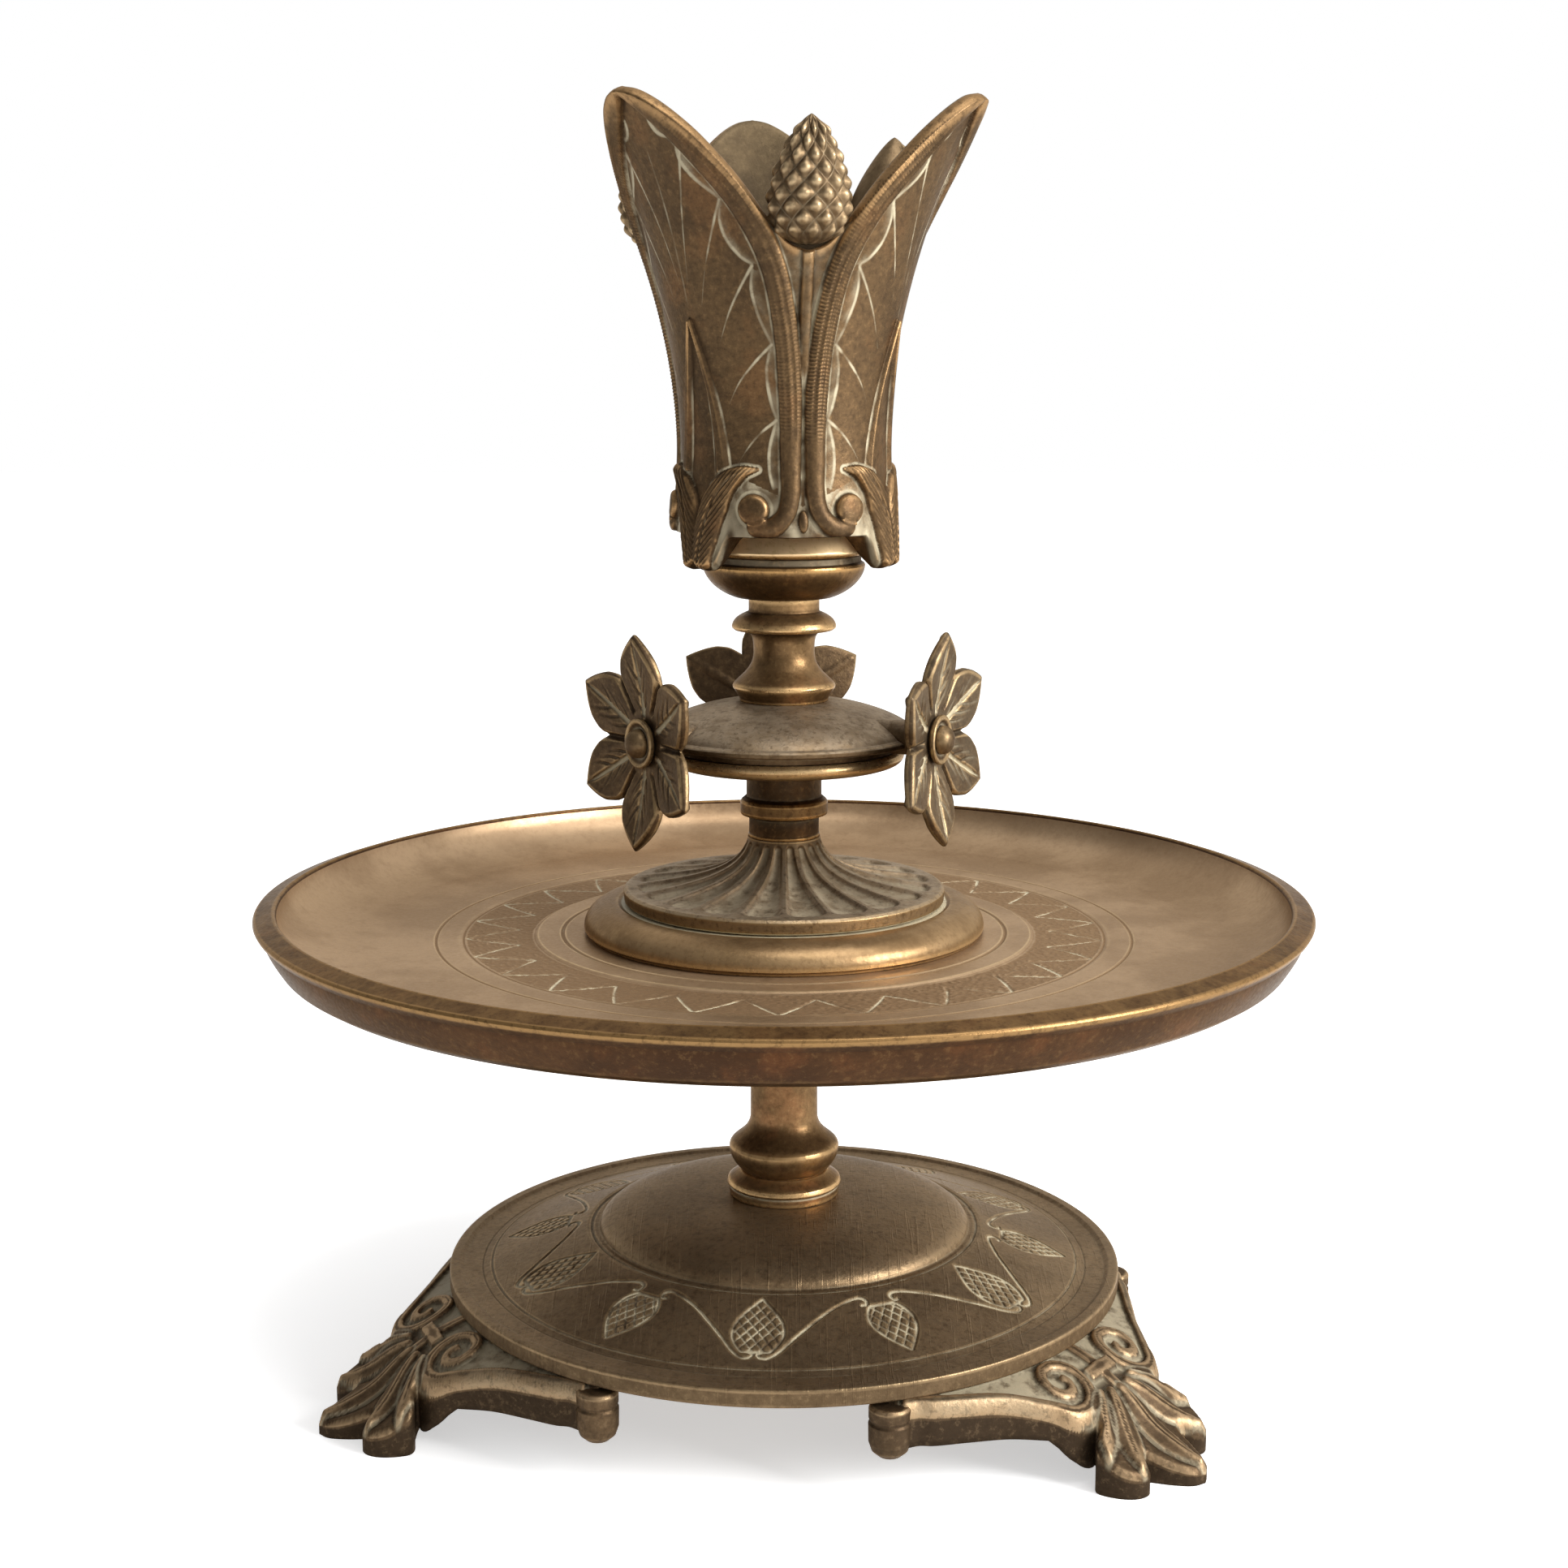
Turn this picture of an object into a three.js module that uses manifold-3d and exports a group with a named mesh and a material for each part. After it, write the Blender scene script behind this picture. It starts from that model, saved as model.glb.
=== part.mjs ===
// Candlestick: three scroll feet, an engraved base, a round tray, a turned stem with
// three flowers on its knop, and a cup of three leaves that holds the candle.
// The turned pieces are threaded on one tie rod. Millimetres, +Z up, ground at z = 0.

import * as THREE from 'three';
import { mergeVertices } from 'three/addons/utils/BufferGeometryUtils.js';
import Module from 'manifold-3d';

const wasm = await Module();
wasm.setup();

// Running clearance of shanks and rods in their holes, and the smallest edge kept
const CLEARANCE = 0.3;
const SPECK = 0.2;

// Tie rod, its nuts and the washer under the base
const ROD_RADIUS = 2.4;
const ROD_END = 1.2;
const NUT_RADIUS = 4.4;
const NUT_HEIGHT = 3.2;
const NUT_BOSS_RADIUS = NUT_RADIUS + 1;
const NUT_BOSS_HEIGHT = 0.5;
const WASHER_RADIUS = 6.4;
const WASHER_HEIGHT = 1.2;

// Feet
const FOOT_AZIMUTH = 53;
const FOOT_HEIGHT = 14.2;
const FOOT_TAB = 3.4;
const TOE_LENGTH = 18.3;
const TOE_SPREAD = 11.8;
const TOE_EDGE = 2.2;
const LOBE_WIDTH = 4.4;
const LOBE_HEIGHT = 0.9;
const ARM_ANGLE = 36.5;
const ARM_DEPTH = 12.2;
const KNOB_RADIUS = 3;
const KNOB_LENGTH = 5.4;
const KNOB_HEIGHT = 9.1;
const VOLUTE_RADIUS = 5.2;
const VOLUTE_SPACING = 8.2;
const VOLUTE_OVERHANG = 3.2;
const BAND_WIDTH = 2.1;
const BAND_HEIGHT = 0.8;
const BAR_WIDTH = 1.6;
const FOOT_SCREW_INSET = 7.4;
const FOOT_SCREW_RADIUS = 1.5;
const FOOT_SCREW_HEAD = 2.8;
const FOOT_SCREW_BITE = 1.5;

// Base
const BASE_RADIUS = 51;
const BASE_EDGE = 2.6;
const BASE_LIP = 1.6;
const BASE_STEP = 0.4;
const CONE_RADIUS = 43.6;
const CONE_RISE = 4.4;
const DOME_RADIUS = 28.2;
const DOME_RISE = 4.8;
const BASE_WALL = 2.4;
const HUB_RADIUS = 8.4;
const HUB_DEPTH = 3.8;

// Ring on the dome and the lower baluster
const RING_RADIUS = 8.7;
const RING_HEIGHT = 3.8;
const BALUSTER_FOOT = 6.2;
const BELLY_RADIUS = 8.35;
const BELLY_HEIGHT = 4;
const COLUMN_RADIUS = 5.1;
const BALUSTER_HEIGHT = 35.4;
const CAPITAL_RADIUS = 9.5;

// Tray
const TRAY_RADIUS = 78;
const TRAY_UNDER_RADIUS = 73;
const TRAY_FLOOR = 1.9;
const TRAY_DEPTH = 8.2;
const TRAY_LIP = 3;
const TRAY_LIP_DROP = 1.1;
const TRAY_PANEL_RADIUS = 36.9;
const TRAY_PANEL_RISE = 0.3;

// Boss ring on the tray and the fluted foot of the stem
const BOSS_RADIUS = 29.9;
const BOSS_HEIGHT = 4.5;
const FLARE_RADIUS = 24;
const FLARE_EDGE = 2.2;
const FLARE_HEIGHT = 9.7;
const FLUTE_COUNT = 20;
const FLUTE_DEPTH = 0.75;

// Stem collar
const NECK_RADIUS = 5.2;
const COLLAR_RADIUS = 6.5;
const COLLAR_HEIGHT = 3;
const COLLAR_DROP = 3.1;
const STEM_COLLAR_HEIGHT = 10.9;

// Knop and its lower ring
const KNOP_RING_RADIUS = 18;
const KNOP_RING_HEIGHT = 2.4;
const KNOP_RADIUS = 20.4;
const KNOP_COVE = 1.5;
const KNOP_HEIGHT = 7.1;

// Flowers on the knop
const FLOWER_AZIMUTH = 64.5;
const FLOWER_PETALS = 6;
const FLOWER_RADIUS = 15.6;
const FLOWER_NOTCH = 5.9;
const FLOWER_THICKNESS = 1.3;
const FLOWER_CUPPING = 2.4;
const PETAL_WAIST = 0.6;
const PETAL_GROOVE = 0.5;
const FLOWER_RISE = 2.8;
const LUG_RADIUS = 2.7;
const LUG_LENGTH = 2.4;
const FLOWER_COLLAR_RADIUS = 3.6;
const FLOWER_COLLAR_HEIGHT = 0.9;
const FLOWER_SCREW_RADIUS = 1.1;
const FLOWER_SCREW_BITE = 3;
const FLOWER_SCREW_HEAD = 2.1;

// Spool above the knop
const SPOOL_FOOT = 6.7;
const SPOOL_FLANGE = 7.6;
const SPOOL_WAIST = 4.5;
const SPOOL_BEAD = 7.7;
const SPOOL_HEIGHT = 15.3;

// Bowl under the cup
const BOWL_FOOT = 7.2;
const BOWL_RADIUS = 11.9;
const BOWL_DEPTH = 5;
const BOWL_BAND_RADIUS = 12.2;
const BOWL_BAND_TOP = 10.7;
const BOWL_HEIGHT = 9.6;

// Leaf cup
const LEAF_AZIMUTH = 70;
const CUP_HEIGHT = 66.6;
const CUP_SKIRT = 5;
const CUP_FOOT_RADIUS = 15.95;
const CUP_WAIST_RADIUS = 14.95;
const CUP_WAIST_HEIGHT = 17;
const CUP_MOUTH_RADIUS = 29.8;
const CUP_WALL = 1.6;
const CUP_FLOOR = 2;
const VALLEY_HEIGHT = 45.5;
const RIB_WIDTH = 3.5;
const RIB_HEIGHT = 1.1;
const EYE_ANGLE = 26.4;
const EYE_RISE = 8.8;
const EYE_RADIUS = 2.2;
const LEAF_RELIEF = 1.1;
const FOOT_LEAF_WIDTH = 5.2;
const STALK_WIDTH = 3.1;
const STALK_RELIEF = 0.6;
const STEM_WIDTH = 1.8;
const CONE_LENGTH = 17;
const PINE_RADIUS = 5.4;
const PINE_REACH = 18.4;
const PINE_LEAN = 3.4;

// Number of sides of turned work, by size
const FINE = 32;
const MEDIUM = 24;
const SMALL = 16;
const TINY = 8;

// Small bevels and steps of turned work
const BEVEL = 0.4;

const THREEFOLD = 3;
const BORE = ROD_RADIUS + CLEARANCE;
const DEGREE = Math.PI / 180;

// Heights of the seats, from the ground up
const hubUnder = FOOT_HEIGHT + BASE_EDGE + CONE_RISE + DOME_RISE - HUB_DEPTH + BASE_STEP;
const ringSeat = hubUnder + HUB_DEPTH;
const balusterSeat = ringSeat + RING_HEIGHT;
const traySeat = balusterSeat + BALUSTER_HEIGHT;
const bossSeat = traySeat + TRAY_FLOOR + TRAY_PANEL_RISE;
const flareSeat = bossSeat + BOSS_HEIGHT;
const collarSeat = flareSeat + FLARE_HEIGHT;
const knopRingSeat = collarSeat + STEM_COLLAR_HEIGHT;
const knopSeat = knopRingSeat + KNOP_RING_HEIGHT;
const spoolSeat = knopSeat + KNOP_HEIGHT;
const bowlSeat = spoolSeat + SPOOL_HEIGHT;
const cupSeat = bowlSeat + BOWL_HEIGHT;
const cupBottom = cupSeat - CUP_SKIRT;
const flowerHeight = knopSeat + FLOWER_RISE;

// Reaches from the axis that follow the base and the knop
const voluteReach = BASE_RADIUS + VOLUTE_OVERHANG;
const footReach = voluteReach + TOE_LENGTH;
const footScrewReach = BASE_RADIUS - FOOT_SCREW_INSET;
const lugReach = KNOP_RADIUS + LUG_LENGTH;

const finish = {
  bronze: new THREE.MeshStandardMaterial({ color: 0x6e5638, roughness: 0.5, metalness: 0.85 }),
  brass: new THREE.MeshStandardMaterial({ color: 0x94743f, roughness: 0.35, metalness: 0.95 }),
  tray: new THREE.MeshStandardMaterial({ color: 0x96804f, roughness: 0.4, metalness: 0.9 }),
  dark: new THREE.MeshStandardMaterial({ color: 0x57442f, roughness: 0.55, metalness: 0.8 }),
  iron: new THREE.MeshStandardMaterial({ color: 0x4a4744, roughness: 0.6, metalness: 0.9 }),
};

const candlestick = new THREE.Group();

// Direction of an azimuth that is counted from the front (-Y) towards +X
function turn(azimuth, copy = 0) {
  return (azimuth - 90) * DEGREE + (copy * 2 * Math.PI) / THREEFOLD;
}

// Shared corners, no collapsed triangles, and every face pointing out
function closed(geometry) {
  const bare = new THREE.BufferGeometry();
  bare.setAttribute('position', geometry.getAttribute('position').clone());
  if (geometry.index) bare.setIndex(geometry.index.clone());
  const merged = mergeVertices(bare, 1e-4);
  const point = merged.getAttribute('position');
  const corner = [new THREE.Vector3(), new THREE.Vector3(), new THREE.Vector3()];
  const faces = [];
  let volume = 0;
  for (let i = 0; i < merged.index.count; i += 3) {
    const face = [0, 1, 2].map((k) => merged.index.getX(i + k));
    if (new Set(face).size < 3) continue;
    face.forEach((vertex, k) => corner[k].fromBufferAttribute(point, vertex));
    volume += corner[0].dot(corner[1].clone().cross(corner[2]));
    faces.push(...face);
  }
  merged.setIndex(volume < 0 ? faces.reverse() : faces);
  return merged;
}

function solid(geometry) {
  const shape = closed(geometry);
  return new wasm.Manifold(new wasm.Mesh({
    numProp: 3,
    vertProperties: new Float32Array(shape.getAttribute('position').array),
    triVerts: new Uint32Array(shape.index.array),
  }));
}

function joined(body, pieces) {
  return pieces.reduce((whole, piece) => whole.add(solid(piece)), body);
}

function cut(body, pieces) {
  return pieces.reduce((whole, piece) => whole.subtract(solid(piece)), body);
}

// The joined body as a geometry, with edges shorter than a speck drawn together
function surface(body) {
  const { vertProperties, triVerts } = body.getMesh();
  const points = [];
  for (let i = 0; i < vertProperties.length; i += 3) {
    points.push(new THREE.Vector3().fromArray(vertProperties, i));
  }
  const home = points.map((_, i) => i);
  function root(i) {
    return home[i] === i ? i : root(home[i]);
  }
  for (let i = 0; i < triVerts.length; i++) {
    const a = root(triVerts[i]);
    const b = root(triVerts[i % 3 === 2 ? i - 2 : i + 1]);
    if (a !== b && points[a].distanceTo(points[b]) < SPECK) home[Math.max(a, b)] = Math.min(a, b);
  }
  const faces = new Map();
  for (let i = 0; i < triVerts.length; i += 3) {
    const face = [0, 1, 2].map((k) => root(triVerts[i + k]));
    const key = [...face].sort((a, b) => a - b).join();
    if (new Set(face).size < 3) continue;
    if (faces.has(key)) faces.delete(key);
    else faces.set(key, face);
  }
  const geometry = new THREE.BufferGeometry().setFromPoints(points);
  geometry.setIndex([...faces.values()].flat());
  return closed(geometry);
}

function add(name, geometry, material, parent = candlestick) {
  geometry.computeVertexNormals();
  const mesh = new THREE.Mesh(geometry, material);
  mesh.name = name;
  parent.add(mesh);
  return mesh;
}

// A turned body: the path gives radius and height, and closes on itself
function turned(path, sides, divisions = 3) {
  const points = path.getPoints(divisions);
  if (!points[0].equals(points[points.length - 1])) points.push(points[0].clone());
  return closed(new THREE.LatheGeometry(points, sides).rotateX(Math.PI / 2));
}

// A path that starts at the bore on the seat, ready for the outside of a turned piece
function fromBore(seat) {
  const path = new THREE.Path();
  path.moveTo(BORE, seat);
  return path;
}

// Rings of equally many points, skinned in order; open ends are capped
function skin(rings, { loop = false, flip = () => false } = {}) {
  const sides = rings[0].length;
  const points = rings.flat();
  const faces = [];
  const last = loop ? rings.length : rings.length - 1;
  for (let i = 0; i < last; i++) {
    for (let k = 0; k < sides; k++) {
      const a = i * sides + k;
      const b = i * sides + ((k + 1) % sides);
      const c = ((i + 1) % rings.length) * sides + ((k + 1) % sides);
      const d = ((i + 1) % rings.length) * sides + k;
      if (flip(i, k)) faces.push(a, b, d, b, c, d);
      else faces.push(a, b, c, a, c, d);
    }
  }
  if (!loop) {
    const end = (rings.length - 1) * sides;
    for (let k = 1; k < sides - 1; k++) {
      faces.push(0, k + 1, k);
      faces.push(end, end + k, end + k + 1);
    }
  }
  const geometry = new THREE.BufferGeometry().setFromPoints(points);
  geometry.setIndex(faces);
  return closed(geometry);
}

// A raised band along stations with a centre, a half width and a height; its section
// narrows to the top and is sunk a little into what carries it
const BAND_SECTION = [[1, -0.5], [0.5, 1], [-0.5, 1], [-1, -0.5]];

function swept(stations) {
  return skin(stations.map(({ centre, across, up }) => BAND_SECTION.map(([aside, high]) => (
    centre.clone().addScaledVector(across, aside).addScaledVector(up, high)
  ))));
}

// A solid that is cut or set radially: outline in (sideways, height), from one radius outwards
function radialPrism(shape, depth) {
  const options = { depth, bevelEnabled: false, curveSegments: 4 };
  const geometry = new THREE.ExtrudeGeometry(shape, options);
  const basis = new THREE.Matrix4().makeBasis(
    new THREE.Vector3(0, 1, 0),
    new THREE.Vector3(0, 0, 1),
    new THREE.Vector3(1, 0, 0),
  );
  return geometry.applyMatrix4(basis);
}

// A cylinder along +X from one radius to another
function radialPin(radius, from, to, height, sides = TINY) {
  const geometry = new THREE.CylinderGeometry(radius, radius, to - from, sides);
  return geometry.rotateZ(-Math.PI / 2).translate((from + to) / 2, 0, height);
}

// The three copies of a piece that was built along +X
function spun(geometry, azimuth) {
  const copies = [];
  for (let k = 0; k < THREEFOLD; k++) copies.push(geometry.clone().rotateZ(turn(azimuth, k)));
  return copies;
}

function between(a, b, t) {
  return a + (b - a) * t;
}

// Height of the foot's upper side at a distance from the axis: it leaves the base's
// underside, falls gently under the scrolls and steeply over the toe
const footCrown = new THREE.CatmullRomCurve3([
  new THREE.Vector3(BASE_RADIUS - BASE_STEP, 0, FOOT_HEIGHT - BASE_STEP),
  new THREE.Vector3(voluteReach + CLEARANCE, 0, FOOT_HEIGHT * 0.87),
  new THREE.Vector3(between(voluteReach, footReach, 0.3), 0, FOOT_HEIGHT * 0.66),
  new THREE.Vector3(between(voluteReach, footReach, 0.55), 0, FOOT_HEIGHT * 0.38),
  new THREE.Vector3(footReach + CLEARANCE, 0, TOE_EDGE),
]);

function crownHeight(radius) {
  const samples = footCrown.getPoints(40);
  const next = samples.findIndex((point) => point.x >= radius);
  if (next <= 0) return next === 0 ? samples[0].z : TOE_EDGE;
  const [low, high] = [samples[next - 1], samples[next]];
  return between(low.z, high.z, (radius - low.x) / (high.x - low.x));
}

// Plan of a foot: toe with three lobes, round scrolls, and arms that end at the base's edge
function footPlan() {
  const armX = BASE_RADIUS * Math.cos(ARM_ANGLE * DEGREE);
  const armY = BASE_RADIUS * Math.sin(ARM_ANGLE * DEGREE);
  const inner = BASE_RADIUS - ARM_DEPTH;
  const toe = [[1, 0], [0.7, 0.3], [0.57, 0.41], [0.62, 0.62], [0.47, 1]];
  const half = toe.map(([along, aside]) => [
    between(voluteReach, footReach, along), TOE_SPREAD * aside,
  ]);
  for (const angle of [12, 30, 48]) {
    half.push([
      voluteReach + (VOLUTE_RADIUS + BEVEL) * Math.cos(angle * DEGREE),
      VOLUTE_SPACING + (VOLUTE_RADIUS + BEVEL) * Math.sin(angle * DEGREE),
    ]);
  }
  half.push([armX + KNOB_RADIUS * 0.9, armY - KNOB_RADIUS * 1.1]);
  half.push([armX + KNOB_RADIUS * 0.3, armY + KNOB_RADIUS * 0.4]);
  half.push([armX - KNOB_RADIUS * 0.9, armY]);
  half.push([inner + 1, armY * 0.7]);
  half.push([inner, 0]);
  const shape = new THREE.Shape();
  half.forEach(([x, y], i) => (i ? shape.lineTo(x, y) : shape.moveTo(x, y)));
  half.slice(1, -1).reverse().forEach(([x, y]) => shape.lineTo(x, -y));
  return shape;
}

// Section of all feet round the axis: a flat tab under the base, a shell, and a solid toe
function footSection() {
  const inner = BASE_RADIUS - ARM_DEPTH * 1.25;
  const underTab = FOOT_HEIGHT - FOOT_TAB;
  const beyond = footReach + TOE_EDGE;
  const crownStart = BASE_RADIUS - BASE_STEP;
  const path = new THREE.Path();
  path.moveTo(inner, FOOT_HEIGHT);
  path.lineTo(inner, underTab);
  path.lineTo(BASE_RADIUS - FOOT_TAB, underTab);
  path.lineTo(BASE_RADIUS - FOOT_TAB / 2, FOOT_HEIGHT * 0.6);
  path.lineTo(between(voluteReach, footReach, 0.19), FOOT_HEIGHT * 0.48);
  path.lineTo(between(voluteReach, footReach, 0.31), FOOT_HEIGHT * 0.24);
  path.lineTo(between(voluteReach, footReach, 0.4), 0);
  path.lineTo(beyond, 0);
  path.lineTo(beyond, TOE_EDGE);
  for (const share of [0.94, 0.66, 0.4, 0.2]) {
    const radius = between(crownStart, footReach, share);
    path.lineTo(radius, crownHeight(radius));
  }
  path.lineTo(crownStart, FOOT_HEIGHT - BASE_STEP);
  path.lineTo(crownStart - BASE_STEP, FOOT_HEIGHT);
  return turned(path, MEDIUM);
}

// Raised band of one scroll: along the arm's outer edge, then round the volute
function scrollBand(hand) {
  const arm = (ARM_ANGLE - 2) * DEGREE;
  const plan = [new THREE.Vector2(
    BASE_RADIUS * Math.cos(arm) + BASE_STEP,
    BASE_RADIUS * Math.sin(arm) - BASE_STEP,
  )];
  const steps = 6;
  for (let i = 0; i <= steps; i++) {
    const share = i / steps;
    const angle = (50 - 432 * share) * DEGREE;
    const reach = between(VOLUTE_RADIUS * 0.85, VOLUTE_RADIUS * 0.25, share);
    plan.push(new THREE.Vector2(
      voluteReach + reach * Math.cos(angle),
      VOLUTE_SPACING + reach * Math.sin(angle),
    ));
  }
  return swept(plan.map((point, i) => {
    const ahead = plan[Math.min(i + 1, plan.length - 1)];
    const behind = plan[Math.max(i - 1, 0)];
    const along = ahead.clone().sub(behind).normalize();
    const halfWidth = between(BAND_WIDTH, BAND_WIDTH * 0.6, i / plan.length) / 2;
    return {
      centre: new THREE.Vector3(point.x, hand * point.y, crownHeight(point.length())),
      across: new THREE.Vector3(-along.y, hand * along.x, 0).multiplyScalar(halfWidth),
      up: new THREE.Vector3(0, 0, BAND_HEIGHT),
    };
  }));
}

// Raised lobe of the toe from its root to its tip, in plan coordinates
function toeLobe(root, tip) {
  const along = tip.clone().sub(root).normalize();
  return swept([0.02, 0.35, 0.7, 0.96].map((share) => {
    const { x, y } = root.clone().lerp(tip, share);
    const halfWidth = (LOBE_WIDTH / 2) * Math.sin(Math.PI * between(0.12, 0.93, share));
    return {
      centre: new THREE.Vector3(x, y, crownHeight(Math.hypot(x, y))),
      across: new THREE.Vector3(-along.y, along.x, 0).multiplyScalar(halfWidth),
      up: new THREE.Vector3(0, 0, LOBE_HEIGHT),
    };
  }));
}

// Rolled end of an arm, under the base's edge
function knob(hand) {
  const angle = hand * ARM_ANGLE * DEGREE;
  const roll = new THREE.CylinderGeometry(KNOB_RADIUS, KNOB_RADIUS, KNOB_LENGTH, TINY);
  roll.rotateZ(-Math.PI / 2).rotateZ(angle);
  const reach = BASE_RADIUS - BASE_STEP * 2;
  return roll.translate(reach * Math.cos(angle), reach * Math.sin(angle), KNOB_HEIGHT);
}

function footBody() {
  const plan = new THREE.ExtrudeGeometry(footPlan(), { depth: FOOT_HEIGHT, bevelEnabled: false });
  const barReach = voluteReach + BAR_WIDTH * 0.75;
  const bar = new THREE.BoxGeometry(BAR_WIDTH, VOLUTE_SPACING * 0.44, BAR_WIDTH);
  bar.translate(barReach, 0, crownHeight(barReach));
  const root = voluteReach + VOLUTE_RADIUS;
  const middle = toeLobe(new THREE.Vector2(root, 0), new THREE.Vector2(footReach - LOBE_HEIGHT, 0));
  const relief = [bar, middle];
  for (const hand of [-1, 1]) {
    relief.push(scrollBand(hand), knob(hand), toeLobe(
      new THREE.Vector2(root, hand * LOBE_WIDTH * 0.4),
      new THREE.Vector2(between(voluteReach, footReach, 0.52), hand * TOE_SPREAD * 0.78),
    ));
  }
  const under = new THREE.CylinderGeometry(footReach * 2, footReach * 2, FOOT_HEIGHT, TINY);
  under.rotateX(Math.PI / 2).translate(0, 0, -FOOT_HEIGHT / 2);
  const clearOfBase = BASE_RADIUS + CLEARANCE;
  const headroom = new THREE.CylinderGeometry(clearOfBase, clearOfBase, FOOT_HEIGHT, FINE);
  headroom.rotateX(Math.PI / 2).translate(0, 0, FOOT_HEIGHT * 1.5);
  const hole = upright(FOOT_SCREW_RADIUS + CLEARANCE, FOOT_HEIGHT * 2);
  const body = solid(plan).intersect(solid(footSection()));
  return surface(cut(joined(body, relief), [under, headroom, hole]));
}

// A screw hole through the foot's tab, centred on the base's underside
function upright(radius, height) {
  const hole = new THREE.CylinderGeometry(radius, radius, height, TINY);
  return hole.rotateX(Math.PI / 2).translate(footScrewReach, 0, FOOT_HEIGHT);
}

// Pan-head screw from below, through the foot's tab into the base
function footScrew() {
  const head = FOOT_HEIGHT - FOOT_TAB;
  const path = new THREE.Path();
  path.moveTo(0, head - FOOT_SCREW_BITE);
  path.lineTo(FOOT_SCREW_HEAD * 0.7, head - FOOT_SCREW_BITE);
  path.lineTo(FOOT_SCREW_HEAD, head - FOOT_SCREW_BITE / 2);
  path.lineTo(FOOT_SCREW_HEAD, head);
  path.lineTo(FOOT_SCREW_RADIUS, head);
  path.lineTo(FOOT_SCREW_RADIUS, FOOT_HEIGHT + FOOT_SCREW_BITE);
  path.lineTo(0, FOOT_HEIGHT + FOOT_SCREW_BITE);
  const geometry = new THREE.LatheGeometry(path.getPoints(), TINY).rotateX(Math.PI / 2);
  return closed(geometry.translate(footScrewReach, 0, 0));
}

// Base: flat edge with a lip, engraved cone and a pillow-shaped dome, hollow underneath
function baseDisc() {
  const edge = FOOT_HEIGHT + BASE_EDGE;
  const coneFoot = edge + BASE_STEP;
  const coneTop = coneFoot + CONE_RISE;
  const domeTop = coneTop + DOME_RISE;
  const path = fromBore(domeTop);
  path.lineTo(HUB_RADIUS, domeTop);
  path.bezierCurveTo(
    DOME_RADIUS * 0.68, domeTop - 0.3,
    DOME_RADIUS - 0.6, domeTop - DOME_RISE * 0.35,
    DOME_RADIUS, coneTop,
  );
  path.lineTo(DOME_RADIUS + 2, coneTop);
  path.lineTo(CONE_RADIUS, coneFoot);
  path.lineTo(CONE_RADIUS + 2, edge - BASE_STEP);
  path.lineTo(BASE_RADIUS - BASE_LIP - BASE_STEP, edge - BASE_STEP);
  path.lineTo(BASE_RADIUS - BASE_LIP, edge);
  path.lineTo(BASE_RADIUS, edge);
  path.lineTo(BASE_RADIUS, FOOT_HEIGHT);
  path.lineTo(BASE_RADIUS * 0.74, FOOT_HEIGHT);
  path.lineTo(DOME_RADIUS + 2, coneTop - BASE_WALL * 1.05);
  path.lineTo(DOME_RADIUS - BASE_WALL, coneTop - BASE_WALL * 0.5);
  path.bezierCurveTo(
    DOME_RADIUS - BASE_WALL * 1.2, domeTop - BASE_WALL - DOME_RISE * 0.35,
    DOME_RADIUS * 0.6, domeTop - BASE_WALL - 0.3,
    HUB_RADIUS + 1, domeTop - BASE_WALL,
  );
  path.lineTo(HUB_RADIUS, hubUnder);
  path.lineTo(BORE, hubUnder);
  const hole = upright(FOOT_SCREW_RADIUS + CLEARANCE, 2 * (FOOT_SCREW_BITE + CLEARANCE));
  return surface(cut(solid(turned(path, FINE, 2)), spun(hole, FOOT_AZIMUTH)));
}

function baseRing() {
  const path = fromBore(ringSeat);
  path.lineTo(RING_RADIUS - 0.4, ringSeat);
  path.lineTo(RING_RADIUS - 0.4, ringSeat + RING_HEIGHT * 0.32);
  path.lineTo(RING_RADIUS, ringSeat + RING_HEIGHT * 0.47);
  path.lineTo(RING_RADIUS - 0.2, ringSeat + RING_HEIGHT * 0.66);
  path.lineTo(BALUSTER_FOOT + 0.4, balusterSeat);
  path.lineTo(BORE, balusterSeat);
  return turned(path, SMALL);
}

// Lower baluster: bell foot, sharp belly, plain column and a small capital under the tray
function lowerBaluster() {
  const belly = balusterSeat + BELLY_HEIGHT;
  const path = fromBore(balusterSeat);
  path.lineTo(BALUSTER_FOOT, balusterSeat);
  path.bezierCurveTo(
    BALUSTER_FOOT + 1.2, balusterSeat + 0.9,
    BELLY_RADIUS, belly - 1.8,
    BELLY_RADIUS, belly,
  );
  path.bezierCurveTo(
    BELLY_RADIUS - 0.2, belly + 1.2,
    COLUMN_RADIUS + 0.3, belly + 1.8,
    COLUMN_RADIUS, belly + 4.4,
  );
  path.lineTo(COLUMN_RADIUS - 0.1, traySeat - 9);
  path.lineTo(COLUMN_RADIUS + 1.6, traySeat - 7.6);
  path.lineTo(COLUMN_RADIUS + 1.6, traySeat - 6.4);
  path.lineTo(COLUMN_RADIUS, traySeat - 5.4);
  path.quadraticCurveTo(COLUMN_RADIUS + 0.4, traySeat - 2, CAPITAL_RADIUS, traySeat - 1.6);
  path.lineTo(CAPITAL_RADIUS, traySeat);
  path.lineTo(BORE, traySeat);
  return turned(path, SMALL);
}

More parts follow.
